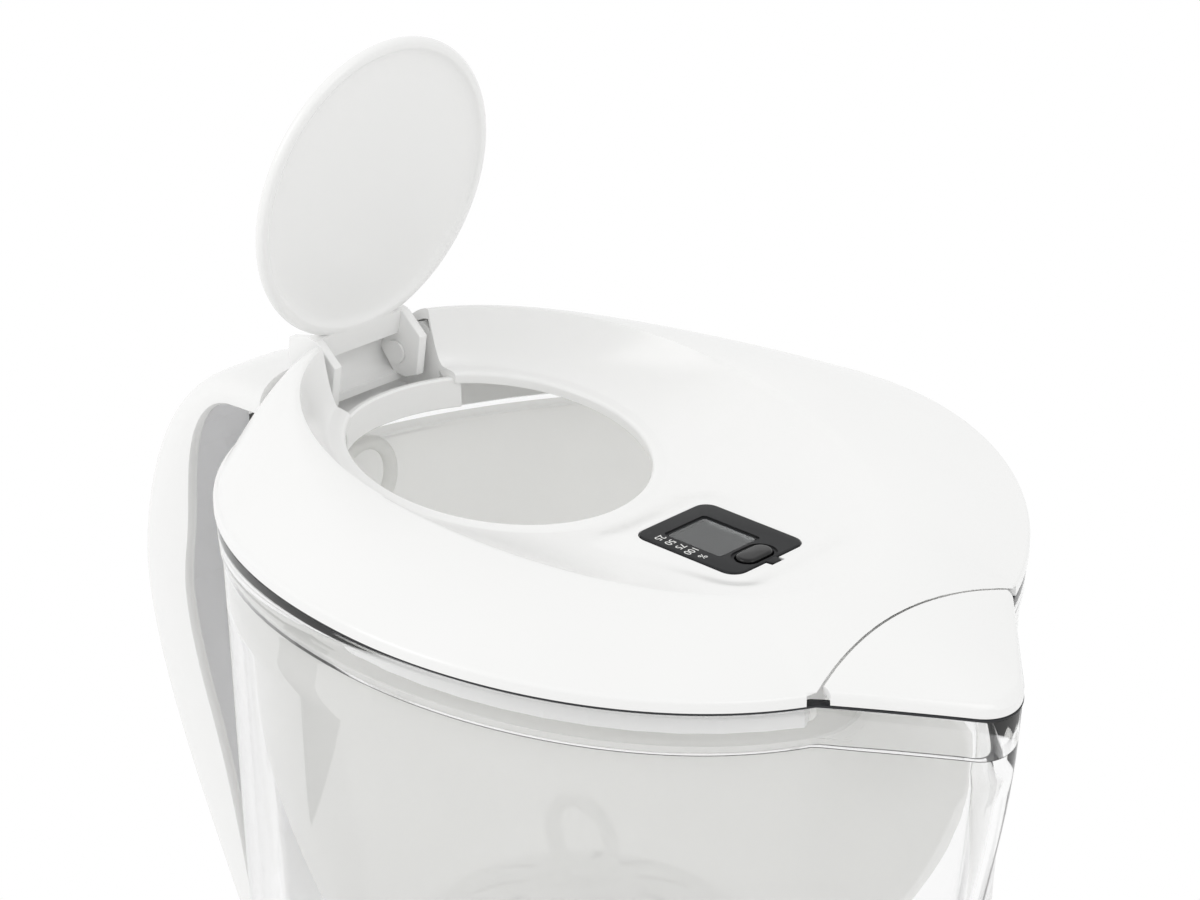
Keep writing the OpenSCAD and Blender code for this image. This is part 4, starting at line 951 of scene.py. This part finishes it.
def seal():
    """A flat rubber bead swept along the jug's outline; its near black is painted shadow, the dark
    line between lid and jug.
    """
    width, height = 2.9, 0.54
    path = raised(inset(SPOUT_RING, SEAL_INSET + width / 2),
                  rim_z(SPOUT_RING[:, 0]) - SEAL_DROP - height / 2)
    line = bpy.data.meshes.new("seal_path")
    n = len(path)
    line.from_pydata((path * MM).tolist(), [(i, (i + 1) % n) for i in range(n)], [])
    made = bpy.data.objects.new("lid_gasket", line)
    bpy.context.scene.collection.objects.link(made)
    tree = bpy.data.node_groups.new("bead_along_rim", "GeometryNodeTree")
    face = tree.interface
    face.new_socket("Geometry", in_out="INPUT", socket_type="NodeSocketGeometry")
    sizes = {label: face.new_socket(label, in_out="INPUT", socket_type="NodeSocketFloat")
             for label in ("Width", "Height")}
    face.new_socket("Geometry", in_out="OUTPUT", socket_type="NodeSocketGeometry")
    start = add(tree, "NodeGroupInput")
    curve = add(tree, "GeometryNodeMeshToCurve", None, {"Mesh": start.outputs["Geometry"]})
    upright = add(tree, "GeometryNodeSetCurveNormal", {".mode": "Z_UP"},
                  {"Curve": curve.outputs["Curve"]})
    section = add(tree, "GeometryNodeCurvePrimitiveQuadrilateral", None,
                  {"Width": start.outputs["Width"], "Height": start.outputs["Height"]})
    eased = add(tree, "GeometryNodeFilletCurve", {".mode": "POLY", "Count": 3,
                                                  "Radius": 0.25 * MM},
                {"Curve": section.outputs["Curve"]})
    swept = add(tree, "GeometryNodeCurveToMesh", None,
                {"Curve": upright.outputs["Curve"], "Profile Curve": eased.outputs["Curve"]})
    real = add(tree, "GeometryNodeRealizeInstances", None, {"Geometry": swept.outputs["Mesh"]})
    # The bead's near-black rubber is painted shadow along the rim under the lid
    tinted = add(tree, "GeometryNodeSetMaterial", {"Material": silicone_and_shadow_line},
                 {"Geometry": real.outputs["Geometry"]})
    add(tree, "NodeGroupOutput", None, {"Geometry": tinted.outputs["Geometry"]})
    sweep = made.modifiers.new("sweep", "NODES")
    sweep.node_group = tree
    sweep[sizes["Width"].identifier] = width * MM
    sweep[sizes["Height"].identifier] = height * MM
    bake(made)
    shell = bmesh.new()
    shell.from_mesh(made.data)
    if shell.calc_volume(signed=True) < 0:
        bmesh.ops.reverse_faces(shell, faces=shell.faces)
    shell.to_mesh(made.data)
    shell.free()
    crease(made, 40)
    return made


# ---------- putting it together ----------

def put(made, body, slot, *replaced):
    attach(made, body)
    if replaced:
        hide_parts(*replaced)


put(jug(), "jug", "clear_jug", "jug_body")
put(handle(), "jug", "white_gloss", "handle_shell")
put(reservoir(), "reservoir", "frosted_reservoir", "reservoir_funnel")
put(lid(), "lid", "white_gloss", "lid_cover")
put(seal(), "lid", "seal_rubber", "lid_seal")
put(refill_flap(), "refill_flap", "white_gloss", "refill_flap")
put(pour_flap(), "pour_flap", "white_gloss", "pour_flap")
put(bezel(), "lid", "meter_dark", "meter_bezel")
put(button(), "meter_button", "meter_button", "meter_button")
put(scale_marks(), "lid", "meter_dark")

for name, material in {
        "handle_liner": liner_abs, "lid_frame": white_abs, "flap_hinge_pins": white_abs,
        "cartridge_cup": cartridge_pp, "cartridge_cap": cartridge_pp,
        "cartridge_pull_ring": cartridge_pp, "cartridge_grid": cartridge_pp,
        "cartridge_seal": silicone_and_shadow_line, "fleece_disc": fleece_felt, "resin_bed": resin_beads,
        "carbon_bed": carbon_grit, "pour_flap_pin": plated_steel, "meter_case": meter_abs,
        "meter_lens": window_acrylic, "meter_display": display_glass,
        "meter_board": board_mask, "meter_cell": plated_steel,
        "meter_button_dome": plated_steel}.items():
    mesh = nodes[name].data
    mesh.materials.clear()
    mesh.materials.append(material)


# ---------- studio ----------

def lit_white(name, tint, seen):
    """A pale surface that the camera and the glass see as plain white."""
    material = bpy.data.materials.new(name)
    material.use_nodes = True
    tree = material.node_tree
    tree.nodes.clear()
    path = add(tree, "ShaderNodeLightPath")
    rays = add(tree, "ShaderNodeMath", {".operation": "MAXIMUM"},
               {"0": path.outputs["Is Camera Ray"], "1": path.outputs["Is Transmission Ray"]})
    either = add(tree, "ShaderNodeMath", {".operation": "MAXIMUM"},
                 {"0": rays.outputs[0], "1": path.outputs["Is Glossy Ray"]})
    paint = add(tree, "ShaderNodeBsdfPrincipled", {"Base Color": colour(tint),
                                                   "Roughness": 0.8})
    glow = add(tree, "ShaderNodeEmission", {"Color": colour(seen), "Strength": 1.0})
    both = add(tree, "ShaderNodeMixShader", None,
               {"0": either.outputs[0], "1": paint.outputs["BSDF"], "2": glow.outputs[0]})
    add(tree, "ShaderNodeOutputMaterial", None, {"Surface": both.outputs[0]})
    return material


def black_flag():
    """A dark card that only the clear plastic sees, so that its edges read as thin lines."""
    material = bpy.data.materials.new("black_flag_card")
    material.use_nodes = True
    tree = material.node_tree
    tree.nodes.clear()
    path = add(tree, "ShaderNodeLightPath")
    card = add(tree, "ShaderNodeBsdfDiffuse", {"Color": colour("#18191B")})
    away = add(tree, "ShaderNodeBsdfTransparent")
    both = add(tree, "ShaderNodeMixShader", None,
               {"0": path.outputs["Is Transmission Ray"], "1": away.outputs[0],
                "2": card.outputs[0]})
    add(tree, "ShaderNodeOutputMaterial", None, {"Surface": both.outputs[0]})
    return material


def studio():
    floor_verts, floor_faces = block(-4000, 4000, -4000, 4000, -20, 0)
    floor = piece("table_top", floor_verts, floor_faces, lit_white("pale_table", "#F2F2F2",
                                                                   "#FFFFFF"))
    card = black_flag()
    for name, x, y in (("flag_left", -330, -230), ("flag_right", 330, 230)):
        flag = piece(name, *block(x - 10, x + 10, y - 60, y + 60, 5, 600), card)
    world = bpy.data.worlds.new("studio")
    bpy.context.scene.world = world
    world.use_nodes = True
    tree = world.node_tree
    tree.nodes.clear()
    path = add(tree, "ShaderNodeLightPath")
    rays = add(tree, "ShaderNodeMath", {".operation": "MAXIMUM"},
               {"0": path.outputs["Is Camera Ray"], "1": path.outputs["Is Transmission Ray"]})
    either = add(tree, "ShaderNodeMath", {".operation": "MAXIMUM"},
                 {"0": rays.outputs[0], "1": path.outputs["Is Glossy Ray"]})
    level = add(tree, "ShaderNodeMapRange", {"To Min": 0.9, "To Max": 1.0},
                {"Value": either.outputs[0]})
    sky = add(tree, "ShaderNodeBackground", {"Color": colour("#FFFFFF")},
              {"Strength": level.outputs["Result"]})
    add(tree, "ShaderNodeOutputWorld", None, {"Surface": sky.outputs[0]})
    for name, place, aim, size, power in (
            ("softbox_left", (-0.5, -1.3, 1.3), (0, 0, 0.22), 1.0, 6),
            ("softbox_right", (1.4, 0.2, 1.1), (0, 0, 0.22), 0.8, 2.5)):
        lamp = bpy.data.lights.new(name, "AREA")
        lamp.shape, lamp.size, lamp.energy = "SQUARE", size, power
        holder = bpy.data.objects.new(name, lamp)
        bpy.context.scene.collection.objects.link(holder)
        way = np.array(aim) - np.array(place)
        holder.location = place
        holder.rotation_euler = (math.pi / 2 + math.asin(way[2] / np.linalg.norm(way)), 0,
                                 math.atan2(way[1], way[0]) - math.pi / 2)
    camera = bpy.data.cameras.new("camera")
    camera.lens, camera.sensor_width = 110.93, 36
    holder = bpy.data.objects.new("camera", camera)
    bpy.context.scene.collection.objects.link(holder)
    holder.location = (0.43709, -0.49819, 0.51578)
    holder.rotation_euler = (math.pi / 2 - 0.38411, 0, 0.72019)
    bpy.context.scene.camera = holder
    bpy.context.scene.view_settings.view_transform = "Standard"


studio()
